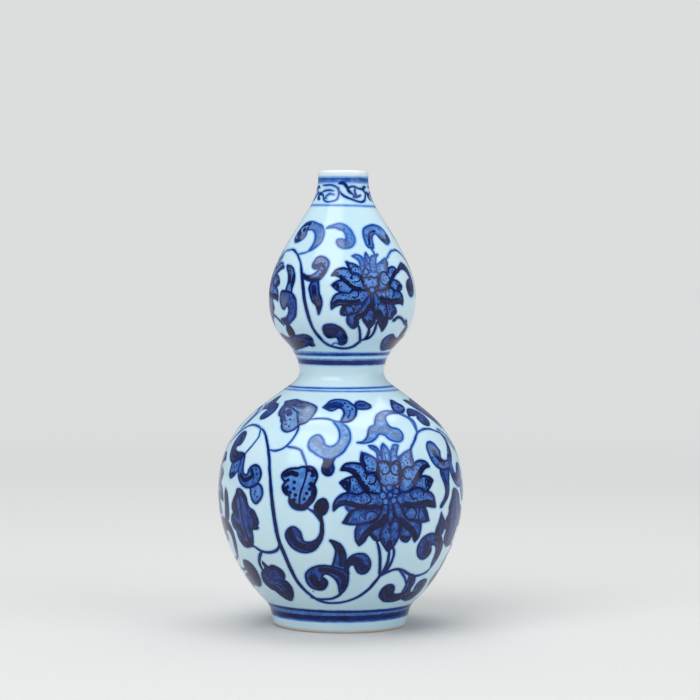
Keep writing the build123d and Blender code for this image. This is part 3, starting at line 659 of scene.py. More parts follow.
LOWER_PETALS = [
    # ground of the whole flower
    form([(19, 84), (22, 86), (26, 85), (31, 83), (38, 79), (42, 73), (44, 67), (42, 60), (38, 54),
        (32, 51.5), (26, 50), (19, 51), (13, 53.5), (8, 58), (2, 63), (3, 68), (5, 73), (8, 78), (13, 83)],
        0.45, 0.3, width=0.0),
    # five petals at the top
    form([(14.2, 89.5), (16.2, 89.4), (18, 88.5), (19.4, 86.3), (19.9, 83.9), (20, 80), (17, 79),
        (17.7, 83.3), (17.8, 85.8), (16.8, 87.4), (15.3, 88.3)], 0.33, 0.65),
    form([(30.2, 89.5), (27.8, 89.6), (26.4, 88.4), (25.2, 86.5), (24.4, 84.3), (24, 80), (28.6, 79.5),
        (28.3, 82.6), (28, 84.5), (28.4, 86.4), (29.4, 88.3)], 0.33, 0.65),
    form([(21.9, 90.3), (20.8, 89), (20.4, 87), (20.1, 84), (20.1, 80.5), (24, 80.5), (24.4, 84),
        (24.2, 87.1), (23.2, 88.8)], 0.33, 0.65, ribs=[[(21.6, 88.3), (21.7, 85.5), (22, 83)]],
        rib_width=0.3),
    form([(37, 87.2), (33.7, 86.3), (30.8, 84.9), (28.7, 83.6), (28.6, 78), (34, 77), (36.6, 80.2),
        (36.6, 83.9)], 0.36, 0.7, smears=[([(36, 86), (35.6, 83.5), (35.4, 81)], 1.2, 0.5)],
        grey=[([(35.6, 86), (34.5, 84), (35.3, 81.5)], 1.6, 0.8)]),
    form([(10.2, 86.5), (13.1, 85.5), (16.1, 84), (17.5, 82.3), (17.5, 77), (12.2, 78), (10.5, 80.8),
        (9.5, 82.6), (9.8, 85.1)], 0.38, 0.75,
        smears=[([(10.6, 85.6), (10.5, 83), (11.5, 80.5)], 1.1, 0.8)]),
    # pointed petals at the sides
    form([(-0.2, 73.4), (2.1, 74.9), (4.3, 75.7), (6.1, 75.9), (8, 75), (11, 70), (8, 68), (4.3, 69.3),
        (2.8, 70.4), (1.4, 71.7)], 0.42, 0.9, ribs=[[(4.3, 75), (4.4, 72.5), (4, 70.3)]],
        smears=[([(0.9, 73.5), (3.2, 73.3), (3.4, 71.2)], 1.5, 0.95)]),
    form([(47.3, 73.1), (45.5, 74.5), (42.5, 75.3), (40.5, 75.3), (38.5, 74.3), (35, 71), (38, 68.5),
        (42.5, 68.9), (44, 69.8), (45.5, 71.1)], 0.42, 0.9,
        ribs=[[(42.8, 74.7), (42.3, 72.5), (42.6, 70.3)]],
        smears=[([(46.2, 73.1), (44.3, 73.3), (43.9, 71.5)], 1.5, 0.95)]),
    # upper horns with their curls
    form([(0.2, 78.8), (1, 80.2), (2.5, 81.4), (5, 81.8), (8, 81.6), (9.8, 80.9), (11.3, 79.2), (12, 77.2),
        (17, 77.5), (18.5, 73), (18.5, 69), (16.1, 68.4), (13.9, 69), (11.6, 70.1), (9.8, 71.4),
        (8.7, 72.9), (7.6, 74.8), (6.1, 76.7), (4.7, 77.8), (2.8, 78.6)], 0.42,
        ribs=[circle(14, 75.1, 2.3, 2.4, -130, 180)],
        smears=[([(1.8, 79.3), (5, 78.9), (7.2, 77.3), (9, 74.6), (10.5, 72.4), (12.5, 70.9)], 1.3, 0.95)]),
    form([(46.2, 79.3), (45.1, 80.9), (43.3, 81.8), (41.1, 82.1), (38.9, 81.8), (37, 80.8), (36.2, 79.8),
        (31, 79), (28.5, 74), (27.5, 70), (30, 68.7), (33.7, 70), (35.2, 71.3), (36.6, 72.5), (38.1, 74.1),
        (40, 76), (41.8, 77.8), (43.6, 78.9)], 0.42, ribs=[circle(33, 77, 3.1, 2.7, 20, 290)],
        smears=[([(44.8, 79.7), (41.8, 79.2), (39.4, 77.4), (37.4, 75.2), (35, 72.8)], 1.3, 0.95)]),
    # pointed petals low at the sides
    form([(1.3, 56.6), (2.5, 58.4), (3.9, 60.5), (5.4, 61.8), (8, 62.6), (12, 63), (20, 63), (19, 57),
        (14, 55), (9.4, 55.8), (6.5, 55.8), (3.6, 56)], 0.5, ribs=[circle(14.2, 58.8, 3.1, 2.6, -60, 200)],
        smears=[([(2.6, 57.1), (3.6, 58.9), (4.3, 60)], 1.2, 0.95)]),
    form([(44.9, 56.2), (44, 57.9), (42.9, 60.2), (41.4, 61.6), (39.2, 62.5), (34, 63.5), (28, 63),
        (30, 57), (36.3, 56), (38.9, 55.8), (41.8, 55.8)], 0.5,
        ribs=[circle(33.7, 59.8, 3.0, 2.6, -100, 250), [(38.3, 61.5), (38.4, 59), (37.7, 57)]],
        smears=[([(43.6, 57), (42.4, 58.9), (41.3, 60.5)], 1.4, 0.95)]),
    # middle horns with their curls
    form([(-2.9, 61.8), (-2.9, 63.9), (-2, 66.1), (-0.1, 68), (2.1, 69), (5, 69.1), (8, 68.6), (11, 69.8),
        (14, 69.2), (18, 68.5), (21, 66), (20.5, 63.9), (18.3, 63.5), (15.3, 62.5), (11.6, 62.2), (8, 63),
        (5, 63.7), (2.1, 64.3), (-0.9, 63.5)], 0.46,
        ribs=[[(8, 68.4), (10.5, 69.6), (12.6, 68.6), (13.7, 67.2), (13.5, 65.5), (11.6, 64.5)]],
        smears=[([(-1.9, 63.3), (1, 65.2), (4.5, 64.9), (8, 63.9), (12, 63.3), (16, 63.7)], 1.4, 0.95)]),
    form([(48.6, 61.9), (48.2, 63.9), (47.4, 66.1), (45.8, 67.7), (44, 68.5), (41.4, 68.9), (38, 70.6),
        (33, 69.5), (28, 68.5), (25.3, 66), (27.1, 63.8), (29.3, 63.5), (32.2, 62.8), (35.9, 62.2),
        (39.6, 62.4), (42.5, 62.8), (45.5, 62.2)], 0.46,
        ribs=[circle(37, 68.4, 4.1, 2.5, -30, 235), [(34.2, 65.9), (36.3, 66.3)]],
        smears=[([(47.3, 63.3), (43.5, 64.2), (39.5, 64), (35, 63.5), (30.5, 64)], 1.7, 0.95)]),
    # petals at the bottom
    form([(13.3, 51.6), (14.8, 50.4), (16.3, 48.9), (18.2, 48.5), (19.6, 49.5), (21, 52), (20, 55),
        (16, 55)], 0.5, smears=[([(14.8, 51), (17, 49.7)], 0.9, 0.9)]),
    form([(28.7, 52.5), (29.2, 49.5), (30.5, 48.2), (32.2, 47.5), (33.6, 47.5), (34.8, 49), (35.1, 51.5),
        (33, 55), (29, 56)], 0.5, smears=[([(30.5, 49.4), (33.3, 49)], 1.4, 0.95)]),
    form([(23.8, 43.3), (21.9, 45.3), (20.5, 47), (19.3, 48.9), (18.8, 52), (20.5, 56), (22.5, 60),
        (25, 59), (28, 56.5), (28.4, 52), (27.9, 48.9), (26.7, 46.2)], 0.52,
        ribs=[circle(26, 54.4, 2.5, 2.3, -60, 240), [(24.2, 47.5), (24, 51), (22.3, 54)]],
        smears=[([(23.8, 45), (23.7, 47.2)], 2.1, 0.95), ([(21.4, 47.3), (20.6, 49.5)], 0.8, 0.8)]),
    # bottom horns
    form([(9.1, 46.5), (7.6, 48.3), (7, 50.8), (7.1, 53.3), (8, 55.2), (10, 56.2), (13, 56.6), (16.5, 58.5),
        (18.5, 61), (19.5, 64), (22, 65.5), (22.1, 62.6), (21.9, 59.5), (20.9, 56.9), (19, 55),
        (16.1, 53.8), (13.3, 51.4), (12.4, 50.1), (11.3, 48.3)], 0.48,
        ribs=[[(18, 63), (18.3, 60), (16.5, 57.5), (13.5, 56)]],
        smears=[([(9.3, 48), (10.6, 50), (12.5, 52.7), (15.5, 55), (18.6, 56.6), (20.6, 59)], 1.8, 0.98)]),
    form([(38.2, 47.2), (39.7, 48.9), (40.3, 51.4), (40.3, 53.9), (39.6, 55.6), (37, 56.9), (33, 57),
        (30.3, 59.5), (28.5, 62.5), (26, 65.5), (24, 65), (24.4, 62), (25.5, 59.5), (27.1, 57),
        (29.3, 55.3), (31.5, 53.5), (34.1, 51.9), (35.9, 50.3), (37, 48.3)], 0.48,
        ribs=[[(29.8, 62), (29.8, 59.5), (31.5, 57.5)]],
        smears=[([(38, 48.8), (36.8, 51.2), (34.3, 53.6), (31, 55.6), (28.3, 57.6)], 1.8, 0.98)]),
    # wedge under the seeds, and the petal in the middle
    form([(21.8, 66), (21.9, 62), (21.9, 58), (23.4, 54.5), (24.8, 58), (24.5, 62), (24.3, 66)], 0.5),
    form([(17.8, 82.3), (17.3, 80), (16.9, 77), (17.4, 74.5), (18.6, 72.9), (20.8, 71.6), (23, 71.3),
        (25.3, 71.9), (26.8, 72.6), (28.2, 73.9), (29, 76.4), (29.1, 79), (28.6, 81.8), (26.5, 82.3),
        (24.3, 81.2), (22, 82.2), (20, 82.3)], 0.4,
        ribs=[circle(20.9, 79.4, 2.5, 2.6, -165, 55), circle(26.1, 78.8, 2.4, 2.4, 50, 320)],
        smears=[([(28.3, 80.5), (28.4, 77), (27.6, 74.6)], 1.1, 1.0),
          ([(17.7, 80.5), (17.5, 77.5), (18.2, 74.8)], 1.1, 0.95)]),
]

LOWER_SEEDS = [
    (19.3, 67.9, 1.6),
    (20.6, 65.3, 1.4),
    (24.6, 65.7, 1.4),
    (22.8, 68.1, 1.2),
    (25.7, 69.6, 1.35),
    (22.5, 71.1, 1.35),
]

# The lotus scroll on the upper bulb

UPPER_STEMS = [
    ([(-60, 190.3, 0.6), (-57, 190.3, 0.6), (-53, 189.9, 0.6), (-49, 188.9, 0.6), (-45, 187.5, 0.5),
      (-42, 186, 0.5), (-39, 184.2, 0.5), (-37, 182.3, 0.7), (-35.5, 180.3, 0.9), (-34, 178, 0.9),
      (-32.5, 175, 1.0), (-31, 171.5, 1.0), (-30, 168, 1.0), (-28.5, 164, 1.0), (-27, 160, 1.0),
      (-25.5, 156.5, 0.9), (-24.3, 154.5, 0.8), (-22.5, 152.3, 0.9), (-20.5, 150.3, 1.0), (-18, 147.9, 0.9),
      (-15, 146.2, 0.9), (-12, 145.3, 0.8), (-8, 144.6, 0.8), (-3, 144, 0.8), (3, 143.8, 0.8),
      (8, 144.2, 0.8), (12, 145, 0.8), (15, 146.3, 0.9), (17, 147.6, 0.9), (18.5, 149, 1.0)], 0.8, 0.85),
    ([(42, 185.7), (45, 187), (49, 188.7), (53, 189.8), (57, 190.2), (60, 190.3)], 0.55, 0.6),
    ([(12.3, 157.5), (14.5, 155), (16, 152), (17, 149.5), (18, 147.3)], 0.7, 0.9),
    ([(29, 158), (28.8, 155), (28, 152.5), (26.5, 150.8), (24.5, 149.8), (21.5, 149.3),
      (18, 148.4)], 0.9, 0.9),
    ([(23.2, 155.5), (23.5, 152.5), (23, 150.8), (21.5, 149.6)], 1.0, 0.9),
    ([(45.5, 158.8, 1.4), (47.3, 159.2, 1.2), (49, 160, 0.8), (52, 160.1, 0.7), (55, 159.6, 0.7),
      (58, 158.8, 0.8), (61, 157.8, 0.8), (64, 156.6, 0.9)], 0.8, 0.9),
    ([(-57, 158.5), (-54, 157.4), (-51.5, 155.8)], 1.2, 0.95),
    ([(-11, 145.4), (-6, 147), (-3.5, 146.2)], 0.5, 0.6),
]

UPPER_LEAVES = [
    form([(-64, 199.5), (-62, 201.5), (-59, 203), (-55, 203.9), (-50, 204.4), (-45, 204.6), (-40, 204.1),
        (-34, 203.4), (-29, 202.8), (-25.5, 201.8), (-23, 200.3), (-21.5, 198.5), (-21.3, 196.5),
        (-22, 194.5), (-24.5, 192.5), (-28, 191), (-32, 189.7), (-33.5, 189.9), (-32.5, 190.8),
        (-31, 192.5), (-30.2, 194.5), (-30.7, 196.5), (-32.5, 198.3), (-35.5, 199.5), (-39, 200.3),
        (-43, 200.3), (-47, 200), (-45.2, 197.8), (-46, 196.3), (-48.5, 195), (-52, 194.2), (-55.5, 193.9),
        (-59, 194.3), (-62, 195.5), (-64, 197)], 0.35, 0.6, width=0.5,
        smears=[([(-63, 200.3), (-59, 202.2), (-53, 203.3), (-47, 203.3)], 1.3, 0.95),
          ([(-61, 199), (-56, 197.2), (-54, 195.3)], 1.9, 1.0),
          ([(-61, 195.3), (-57, 194.6), (-52, 195)], 1.0, 0.9), ([(-53, 200.5), (-52, 200)], 1.4, 0.9),
          ([(-47, 201.5), (-47.5, 199.5)], 1.1, 0.6)],
        grey=[([(-51, 197), (-48.5, 198)], 2.4, 0.8), ([(-41, 202), (-36, 201.8)], 1.5, 0.6),
          ([(-29, 201), (-26, 199), (-25.5, 195), (-28, 193)], 1.6, 0.5)], repeats=FRONT_AND_BACK),
    form([(-20, 201), (-17.5, 201.9), (-14, 202.4), (-10, 203), (-5, 203.4), (0, 203.2), (4, 202.5),
        (7, 201.5), (9.5, 200.2), (11.5, 198.5), (12.8, 196.7), (13, 195.2), (12, 193.5), (9.5, 192),
        (7, 191.3), (4, 191), (1, 191), (-2, 191.5), (-4.5, 192.5), (-5.8, 193.8), (-5.6, 195), (-4, 195.5),
        (-1, 195.5), (1.2, 195.2), (2.4, 193.4), (3.3, 194.4), (3.8, 195.8), (3.7, 197.3), (2.5, 198.7),
        (0, 199.9), (-4, 200.5), (-8, 201.3), (-12, 201.4), (-16, 201.2)], 0.36, 0.55, width=0.5,
        ribs=[[(3.2, 195.5), (3, 194), (2.6, 192.6)]], rib_width=0.8,
        smears=[([(5, 198), (8.5, 196.5), (10.5, 194.5)], 1.7, 0.2)],
        grey=[([(-3.5, 194), (0, 193.2), (6, 192.8)], 2.0, 0.8)],
        dots=[(1.5, 200.7), (5.8, 198.2), (9.6, 196), (6, 194)], repeats=FRONT_AND_BACK),
    form([(31.3, 191.4), (29, 191.4), (26.3, 191.6), (24.3, 193.5), (23.8, 197), (24.3, 199), (26.3, 200.8),
        (30, 201.8), (35, 202.5), (40, 202.9), (46, 202.9), (50, 202.5), (54, 201.9), (57.5, 200.7),
        (59.5, 199), (60.5, 197), (59, 195), (55, 193.9), (51, 193.3), (48, 194), (45.5, 195.3), (43, 197),
        (41.3, 198.2), (38.5, 198.5), (35.5, 197.8), (33.5, 196.8), (32.3, 195), (32, 193)], 0.35, 0.65,
        smears=[([(28, 193), (29.5, 196), (32, 198.5), (36, 199.5), (41, 199.8)], 1.3, 0.55),
          ([(45, 197), (51, 195), (56, 195.5), (58.5, 197.5)], 1.5, 0.8)],
        grey=[([(48, 197), (53, 196)], 2.2, 0.8), ([(30, 197), (33, 199)], 1.5, 0.5)],
        dots=[(34, 199.2), (41, 199.7), (49.5, 201), (27.2, 197.5)], repeats=(*FRONT_AND_BACK, (-165, 0))),
    # curl beside the stem and the leaf that hangs from it
    form([(-22.5, 176), (-25, 174.5), (-26, 172.5), (-25, 170.5), (-24, 168.5), (-22.5, 166.8),
        (-20, 165.3), (-18.8, 163.5), (-18.3, 161.6), (-17.2, 162.8), (-16.2, 164.5), (-15.7, 166.5),
        (-16.5, 168.5), (-17.8, 170.5), (-18.3, 173), (-19, 176)], 0.5, 0.9,
        smears=[([(-22.5, 173), (-21.5, 170), (-19.5, 167.3), (-18, 164)], 1.6, 1.0)],
        grey=[([(-20.5, 169), (-18, 166)], 1.4, 0.5)]),
    form([(-34, 177.6), (-31.5, 176.9), (-28, 176.1), (-24, 175.7), (-20, 175.9), (-17, 177),
        (-14.5, 178.8), (-12.8, 181), (-11.6, 183.3), (-12.6, 185), (-15.5, 186.3), (-19, 186.9),
        (-22.5, 186.4), (-24.4, 185), (-25.6, 182.6), (-24, 181.4), (-21.5, 181.3), (-20, 182.2),
        (-19.4, 181.5), (-20.5, 180), (-23, 178.7), (-26, 178), (-30, 178), (-33, 178.8)], 0.36, 0.8,
        smears=[([(-24.5, 182.5), (-21, 182.4), (-18.5, 183.3)], 1.5, 1.0),
          ([(-17, 183), (-15.3, 182)], 1.1, 0.9), ([(-33, 178.2), (-27, 176.9), (-20, 176.9),
          (-16.5, 178.5), (-14.3, 180.5)], 1.3, 0.95)], grey=[([(-22.5, 185.3), (-18.5, 185.4)], 1.6, 0.8)],
        dots=[(-17.3, 180.5), (-18.3, 178.8), (-15.3, 183.8)], dot_size=0.9),
    # leaf and comma at the left
    form([(-54.5, 182.6), (-50, 182.4), (-46, 181.4), (-43.5, 179.8), (-41.5, 177.8), (-41, 175.5),
        (-41.8, 173.5), (-42.5, 172), (-42.5, 170.5), (-49.5, 170.5), (-48.7, 172), (-47.7, 174),
        (-47.5, 176), (-48.5, 178), (-50, 179.5), (-52.5, 181)], 0.36, 0.85,
        smears=[([(-53, 181.8), (-49.5, 180.8), (-47, 178.5), (-46, 175)], 1.3, 0.95),
          ([(-42.6, 178), (-43, 173.5)], 1.2, 0.9)], grey=[([(-50, 181.2), (-46.5, 179.5)], 1.4, 0.5)],
        repeats=FRONT_AND_LEFT),
    form([(-54, 170.9), (-50, 171.1), (-46, 170.9), (-43, 170.3), (-41, 169.8), (-39, 168.5), (-38, 167),
        (-37.8, 164.5), (-38.5, 162), (-40, 160.2), (-43, 158.8), (-47, 157.4), (-51, 156.7), (-56, 157.9),
        (-57.5, 158.6), (-53, 159.1), (-50, 159.6), (-48, 160.5), (-46, 162), (-45.5, 163.5), (-46.2, 165),
        (-48, 164.9), (-49.5, 164.4), (-51, 163.5), (-53, 163.8), (-55, 165.5), (-56, 167.5),
        (-55.5, 169.5)], 0.5, 0.9,
        smears=[([(-51.5, 165), (-51, 168)], 1.8, 0.5), ([(-40.5, 167), (-40.2, 163)], 1.0, 0.5),
          ([(-54, 158.2), (-49, 158.5)], 0.9, 0.9)],
        grey=[([(-53.5, 168.5), (-51.5, 165.5), (-49, 168)], 2.4, 0.9)],
        dots=[(-42, 163.7), (-44.3, 161.5), (-42.5, 165.7), (-43.5, 167.8)], repeats=FRONT_AND_LEFT),
    # comma inside the loop of the stem
    form([(-15.5, 155), (-14.5, 156.1), (-12, 156.7), (-9, 156.9), (-6, 156.7), (-3, 155.9), (0, 154.7),
        (2.3, 153), (3.8, 151), (4.2, 149), (3.7, 147.3), (2, 146.2), (-0.5, 145.9), (-2.3, 146.4),
        (-2.6, 148), (-3.4, 149.5), (-4.8, 150.6), (-7, 150.4), (-10, 150.2), (-12, 150.3), (-14, 151.3),
        (-15.3, 153)], 0.6,
        smears=[([(-13, 153.5), (-9, 153.3), (-6, 153.2)], 2.5, 1.0),
          ([(0, 148), (1.5, 148.5)], 1.3, 0.8)]),
    # dark leaves low down at the left and right edges
    form([(-51.8, 156.5), (-49, 156), (-47, 154.5), (-46.3, 152.5), (-47.5, 151), (-50, 149.5),
        (-54, 149.5), (-55, 151.5), (-54.5, 153.5), (-52.8, 155.2)], 0.75,
        smears=[([(-50.5, 154.5), (-49.5, 152), (-52.5, 151)], 2.0, 1.0)]),
    form([(-76.5, 149), (-75, 150.3), (-72, 151.1), (-68, 151.1), (-65, 150.2), (-61, 149.3), (-57, 149.3),
        (-53, 150), (-49, 150.5), (-45, 150.8), (-40, 151.1), (-36, 151.4), (-32, 151.1), (-29.4, 150),
        (-28.9, 148.5), (-29.8, 147), (-29.5, 145.6), (-32.5, 145), (-36, 145.5), (-40, 145), (-44, 144.5),
        (-50, 143.8), (-56, 143.3), (-62, 142.6), (-68, 142.4), (-71, 143.4), (-73.5, 145), (-75.5, 147)],
        0.55, ribs=[[(-70, 145.5), (-63, 144.5), (-55, 145.3), (-48, 146.8), (-41, 148), (-35, 147)]],
        smears=[([(-67, 149), (-63, 147), (-57, 146.4), (-50, 147), (-45, 147)], 2.3, 0.95),
          ([(-66, 144.4), (-56, 144.7), (-48, 145)], 1.0, 0.8),
          ([(-41, 149.5), (-35, 149.3), (-31, 148.5)], 1.3, 0.9)]),
    # comma beside the flower on the right
    form([(53, 181), (57, 182.5), (60, 183.5), (63, 184), (67, 183.3), (70.5, 182), (73, 180), (74.7, 177),
        (75.5, 174), (74.5, 171.5), (72, 170), (69, 169.4), (66, 169.5), (63.5, 170.5), (62, 172),
        (61.3, 173.7), (62.3, 175.1), (65, 176.1), (68, 176.6), (70, 177.2), (68.5, 178.6), (66.5, 180),
        (64, 181), (61, 181.5), (57, 181.4), (54, 180.7)], 0.6, 0.9,
        smears=[([(62, 182.5), (67, 182), (71, 180)], 1.3, 0.8),
          ([(65, 173.5), (69, 172.5), (72.5, 174)], 2.3, 0.95)], repeats=FRONT),
]

UPPER_PETALS = [
    form([(20, 184), (24, 185), (30, 183), (37, 181), (42, 177), (45, 172), (44, 167), (40, 162), (33, 161),
        (26, 160), (18, 161), (11, 162), (5, 165), (1, 169), (2, 174), (5, 178), (11, 182)], 0.45, 0.3,
        width=0.0),
    # five petals at the top
    form([(8.9, 187.3), (12.1, 187.9), (15.3, 187.6), (17.5, 186.9), (18.9, 185.6), (19.6, 183.8),
        (20, 180), (15.3, 179), (15.3, 182), (15, 183.8), (13.9, 185.2), (11.6, 186.3)], 0.3, 0.6,
        ribs=[[(17, 185.8), (18, 183.5), (18, 181.5)]], rib_width=0.3),
    form([(34, 188), (31.6, 187.8), (29.4, 187.6), (27, 187.2), (25, 186), (24.2, 184), (24, 180),
        (30, 179.5), (29.8, 181), (30, 183.4), (30.5, 185.4), (31.6, 186.8)], 0.3, 0.6,
        ribs=[[(27.5, 186), (27.2, 183), (27.6, 180.5)]], rib_width=0.3),
    form([(22.1, 188.9), (20.7, 187.5), (20.2, 185.2), (19.8, 182.5), (21, 179.5), (23.5, 180),
        (23.9, 183.4), (24.5, 185.6), (23.9, 187.1)], 0.3, 0.65, ribs=[[(22.2, 186.5), (22, 184)]],
        rib_width=0.3),
    form([(41.7, 186.3), (38.9, 185.7), (35.3, 184.6), (31.6, 183.6), (29.8, 182.7), (30, 178), (38, 178),
        (40.2, 181.1), (41.3, 182.9), (42.6, 184.5)], 0.34, 0.65,
        smears=[([(41.3, 185.3), (40.2, 182.5)], 0.7, 0.5)],
        grey=[([(41, 185.5), (39.3, 183.5), (38.5, 181)], 1.4, 0.9)]),
    form([(3.3, 184.5), (6.2, 184), (9.8, 183.5), (13, 182.6), (15.5, 181.2), (16, 177.5), (8.7, 178.6),
        (6.5, 179.7), (5.5, 181.1), (4.3, 182.9)], 0.34, 0.75, ribs=[circle(10.3, 180.6, 3.2, 1.8, 0, 180)],
        smears=[([(4.4, 183.6), (5.7, 182), (7, 180.3)], 0.9, 0.7)]),
    # pointed petals at the sides
    form([(-7.8, 174), (-5.2, 175.3), (-2, 176.1), (0.3, 176.3), (4, 175), (9, 172), (6, 170), (1.6, 170.6),
        (-2, 171.3), (-5.2, 172.5)], 0.42, 0.9,
        smears=[([(-6.4, 174), (-3.8, 174.4), (-3, 172.7)], 1.0, 0.95)]),
    form([(53.8, 173.6), (51.6, 175.1), (48.9, 176), (46.2, 176.4), (43.5, 176.3), (40, 173.5), (42, 171),
        (48, 171.6), (50.7, 171.9), (53, 172.6)], 0.42, 0.9,
        ribs=[[(48, 175.3), (48.6, 173.5), (47.5, 172)]],
        smears=[([(52.4, 173.7), (50.3, 174), (49.3, 172.7)], 1.0, 0.95)]),
    # upper horns with their curls
    form([(-8.1, 178.3), (-6.5, 179.7), (-4.7, 180.7), (-2, 181.3), (1.6, 181.6), (4.8, 181), (6.6, 179.8),
        (8.5, 178.9), (16, 178), (17.5, 174), (19.5, 172), (14.4, 171.8), (9.8, 172.1), (6.6, 173.3),
        (3.9, 174.4), (1.6, 175.5), (-0.2, 176.7), (-2, 177.6), (-4.7, 178.2)], 0.38,
        ribs=[circle(11, 177.5, 3.4, 2.1, -110, 200)],
        smears=[([(-6.8, 178.8), (-4, 179.2)], 0.9, 0.9),
          ([(-1, 178), (2, 176.4), (5.5, 174.6), (9.5, 173.1), (14, 172.7)], 1.0, 0.95)]),
    form([(54, 180.4), (51.6, 181.2), (49.8, 182), (47.1, 182.3), (44.4, 182.1), (41.6, 181.4), (40.2, 180),
        (34, 180), (30.5, 177), (29.5, 173.5), (27, 171.5), (31, 171.8), (36.2, 172.8), (38.9, 173.7),
        (41.6, 175.1), (43.5, 176.2), (45.7, 177.6), (48, 178.7), (50.7, 179.6)], 0.38,
        ribs=[circle(36, 177, 4.4, 2.8, 0, 330)],
        smears=[([(50, 180.6), (47, 179.6), (44, 177.9), (41, 175.9), (37, 174)], 1.0, 0.9)]),
    # pointed petals low at the sides
    form([(-0.4, 161.5), (-0.7, 163), (0.7, 164.8), (3, 165.9), (8, 166.5), (18, 167), (19, 162),
        (13, 160.5), (8, 161.5), (6.2, 161.1), (2.5, 161.1)], 0.5,
        ribs=[circle(5.3, 163.6, 3.0, 1.8), circle(13.2, 163, 4, 3, -30, 190)],
        smears=[([(0.6, 162.3), (0.9, 163.8), (2.2, 164.9)], 0.9, 0.95)]),
    form([(46.9, 162.1), (46.3, 163.5), (44.4, 164.8), (41.6, 165.8), (38, 166.5), (33, 166), (33, 161),
        (38, 159.9), (40.7, 159.5), (43.5, 159.8), (44.4, 161)], 0.5,
        ribs=[[(39.6, 165), (39.5, 162.8), (38.3, 161)]],
        smears=[([(45.6, 162.4), (43.5, 162.5), (42.5, 161.2)], 1.1, 0.95)]),
    # middle horns with their curls
    form([(-7.9, 163.8), (-8.1, 166.5), (-6.6, 168.7), (-4.3, 170.1), (-1.1, 170.7), (2.5, 170.8),
        (5.4, 170.7), (7.5, 171.8), (12, 172), (18, 171.8), (22.8, 171), (19.8, 168.7), (17.1, 167.1),
        (13.5, 166.2), (9.8, 165.8), (6.2, 165.8), (2.5, 165.5), (-1.1, 165.7), (-4.7, 165.1)], 0.44,
        ribs=[[(5.7, 170.6), (7.5, 171.6), (10.7, 171.8), (12.5, 170.9), (12.4, 169.5), (10.3, 168.8),
          (8, 169)]],
        smears=[([(-6.7, 165.7), (-3, 167.2), (2, 167), (8, 166.9), (13, 167.4)], 1.2, 0.95)]),
    form([(54.1, 165.7), (54.4, 167.2), (53.6, 169.3), (51.6, 170.7), (49.4, 171.4), (45.5, 171.8),
        (41, 173), (34, 172), (24, 171.5), (25.7, 170.1), (28.9, 168.2), (33.5, 167), (38, 166.3),
        (42.5, 165.8), (47.1, 166.3), (50.7, 166.3)], 0.44, ribs=[circle(39.5, 170.8, 4.4, 2.3, -60, 260)],
        smears=[([(52.6, 167), (47.5, 167.6), (42, 167.3), (36, 167.7), (31.5, 168.6)], 1.5, 0.95)]),
    # petals at the bottom
    form([(23, 155), (19.8, 157), (17.5, 158.4), (16.5, 159.7), (17.5, 161.5), (20, 164), (23, 167),
        (24.6, 164), (26.6, 160.8), (27.2, 158.8), (26.3, 157)], 0.52,
        smears=[([(22.8, 156.6), (22.9, 158)], 1.6, 0.98), ([(18.3, 159), (20.5, 157.6)], 0.9, 0.95),
          ([(25.8, 158.4), (25.4, 160.5)], 0.8, 0.9)]),
    form([(9.4, 155.1), (6.4, 156.2), (4.7, 157.5), (4, 159.3), (4.7, 160.8), (7, 161.6), (10.5, 162),
        (13.5, 163.5), (17, 166.3), (20, 169), (23, 171), (23.5, 169.3), (23.1, 166.5), (22.1, 164.7),
        (20.3, 162.8), (18, 161), (15.3, 160.1), (12.8, 159.2), (13.1, 157.5), (12.1, 156)], 0.5,
        smears=[([(10, 156.2), (11, 158), (10.5, 160)], 1.2, 0.98),
          ([(12, 160.8), (15.5, 161.5), (18.6, 163), (21, 165.5)], 1.1, 0.98)]),
    form([(36.3, 153.7), (37.7, 155.2), (38.9, 157), (39.1, 158.8), (38.3, 160.5), (37.5, 163), (35, 166),
        (30, 168.3), (26, 171), (24, 171), (24.4, 167.5), (24.8, 164.7), (26.6, 162), (28.9, 159.6),
        (30.7, 157.8), (32.5, 156.4), (34.8, 154.8)], 0.5, ribs=[circle(32.3, 164.5, 3.9, 2.2, -30, 190)],
        smears=[([(36, 155.3), (35.5, 158), (32.5, 160.3), (29.5, 162.5)], 2.1, 0.98),
          ([(37.5, 158), (37, 161.5)], 1.0, 0.9)]),
    # wedge under the seed, and the petal in the middle
    form([(22.6, 172), (22.3, 168), (23.3, 163), (24.5, 168), (24.5, 172)], 0.5),
    form([(16.2, 178.4), (15.2, 177.3), (15.7, 175.4), (17.1, 173.8), (19.8, 172.6), (22.5, 172.3),
        (25.3, 172.6), (27.5, 173.4), (29.4, 174.7), (30.1, 176.5), (29.9, 178.2), (28.2, 177.7),
        (26.6, 177.3), (24.9, 177.5), (23, 178), (21.2, 177.3), (19.4, 177.7), (17.9, 177.3)], 0.38,
        smears=[([(16.3, 177.4), (17, 175.4)], 0.7, 0.8), ([(29.2, 177.3), (28.7, 175.4)], 0.7, 0.8)]),
    form(circle(19.5, 180, 2.4, 1.5), 0.3, 0.8, width=0.45),
]

UPPER_SEEDS = [
    (23.6, 172, 1.35),
]

# The small scroll on the neck

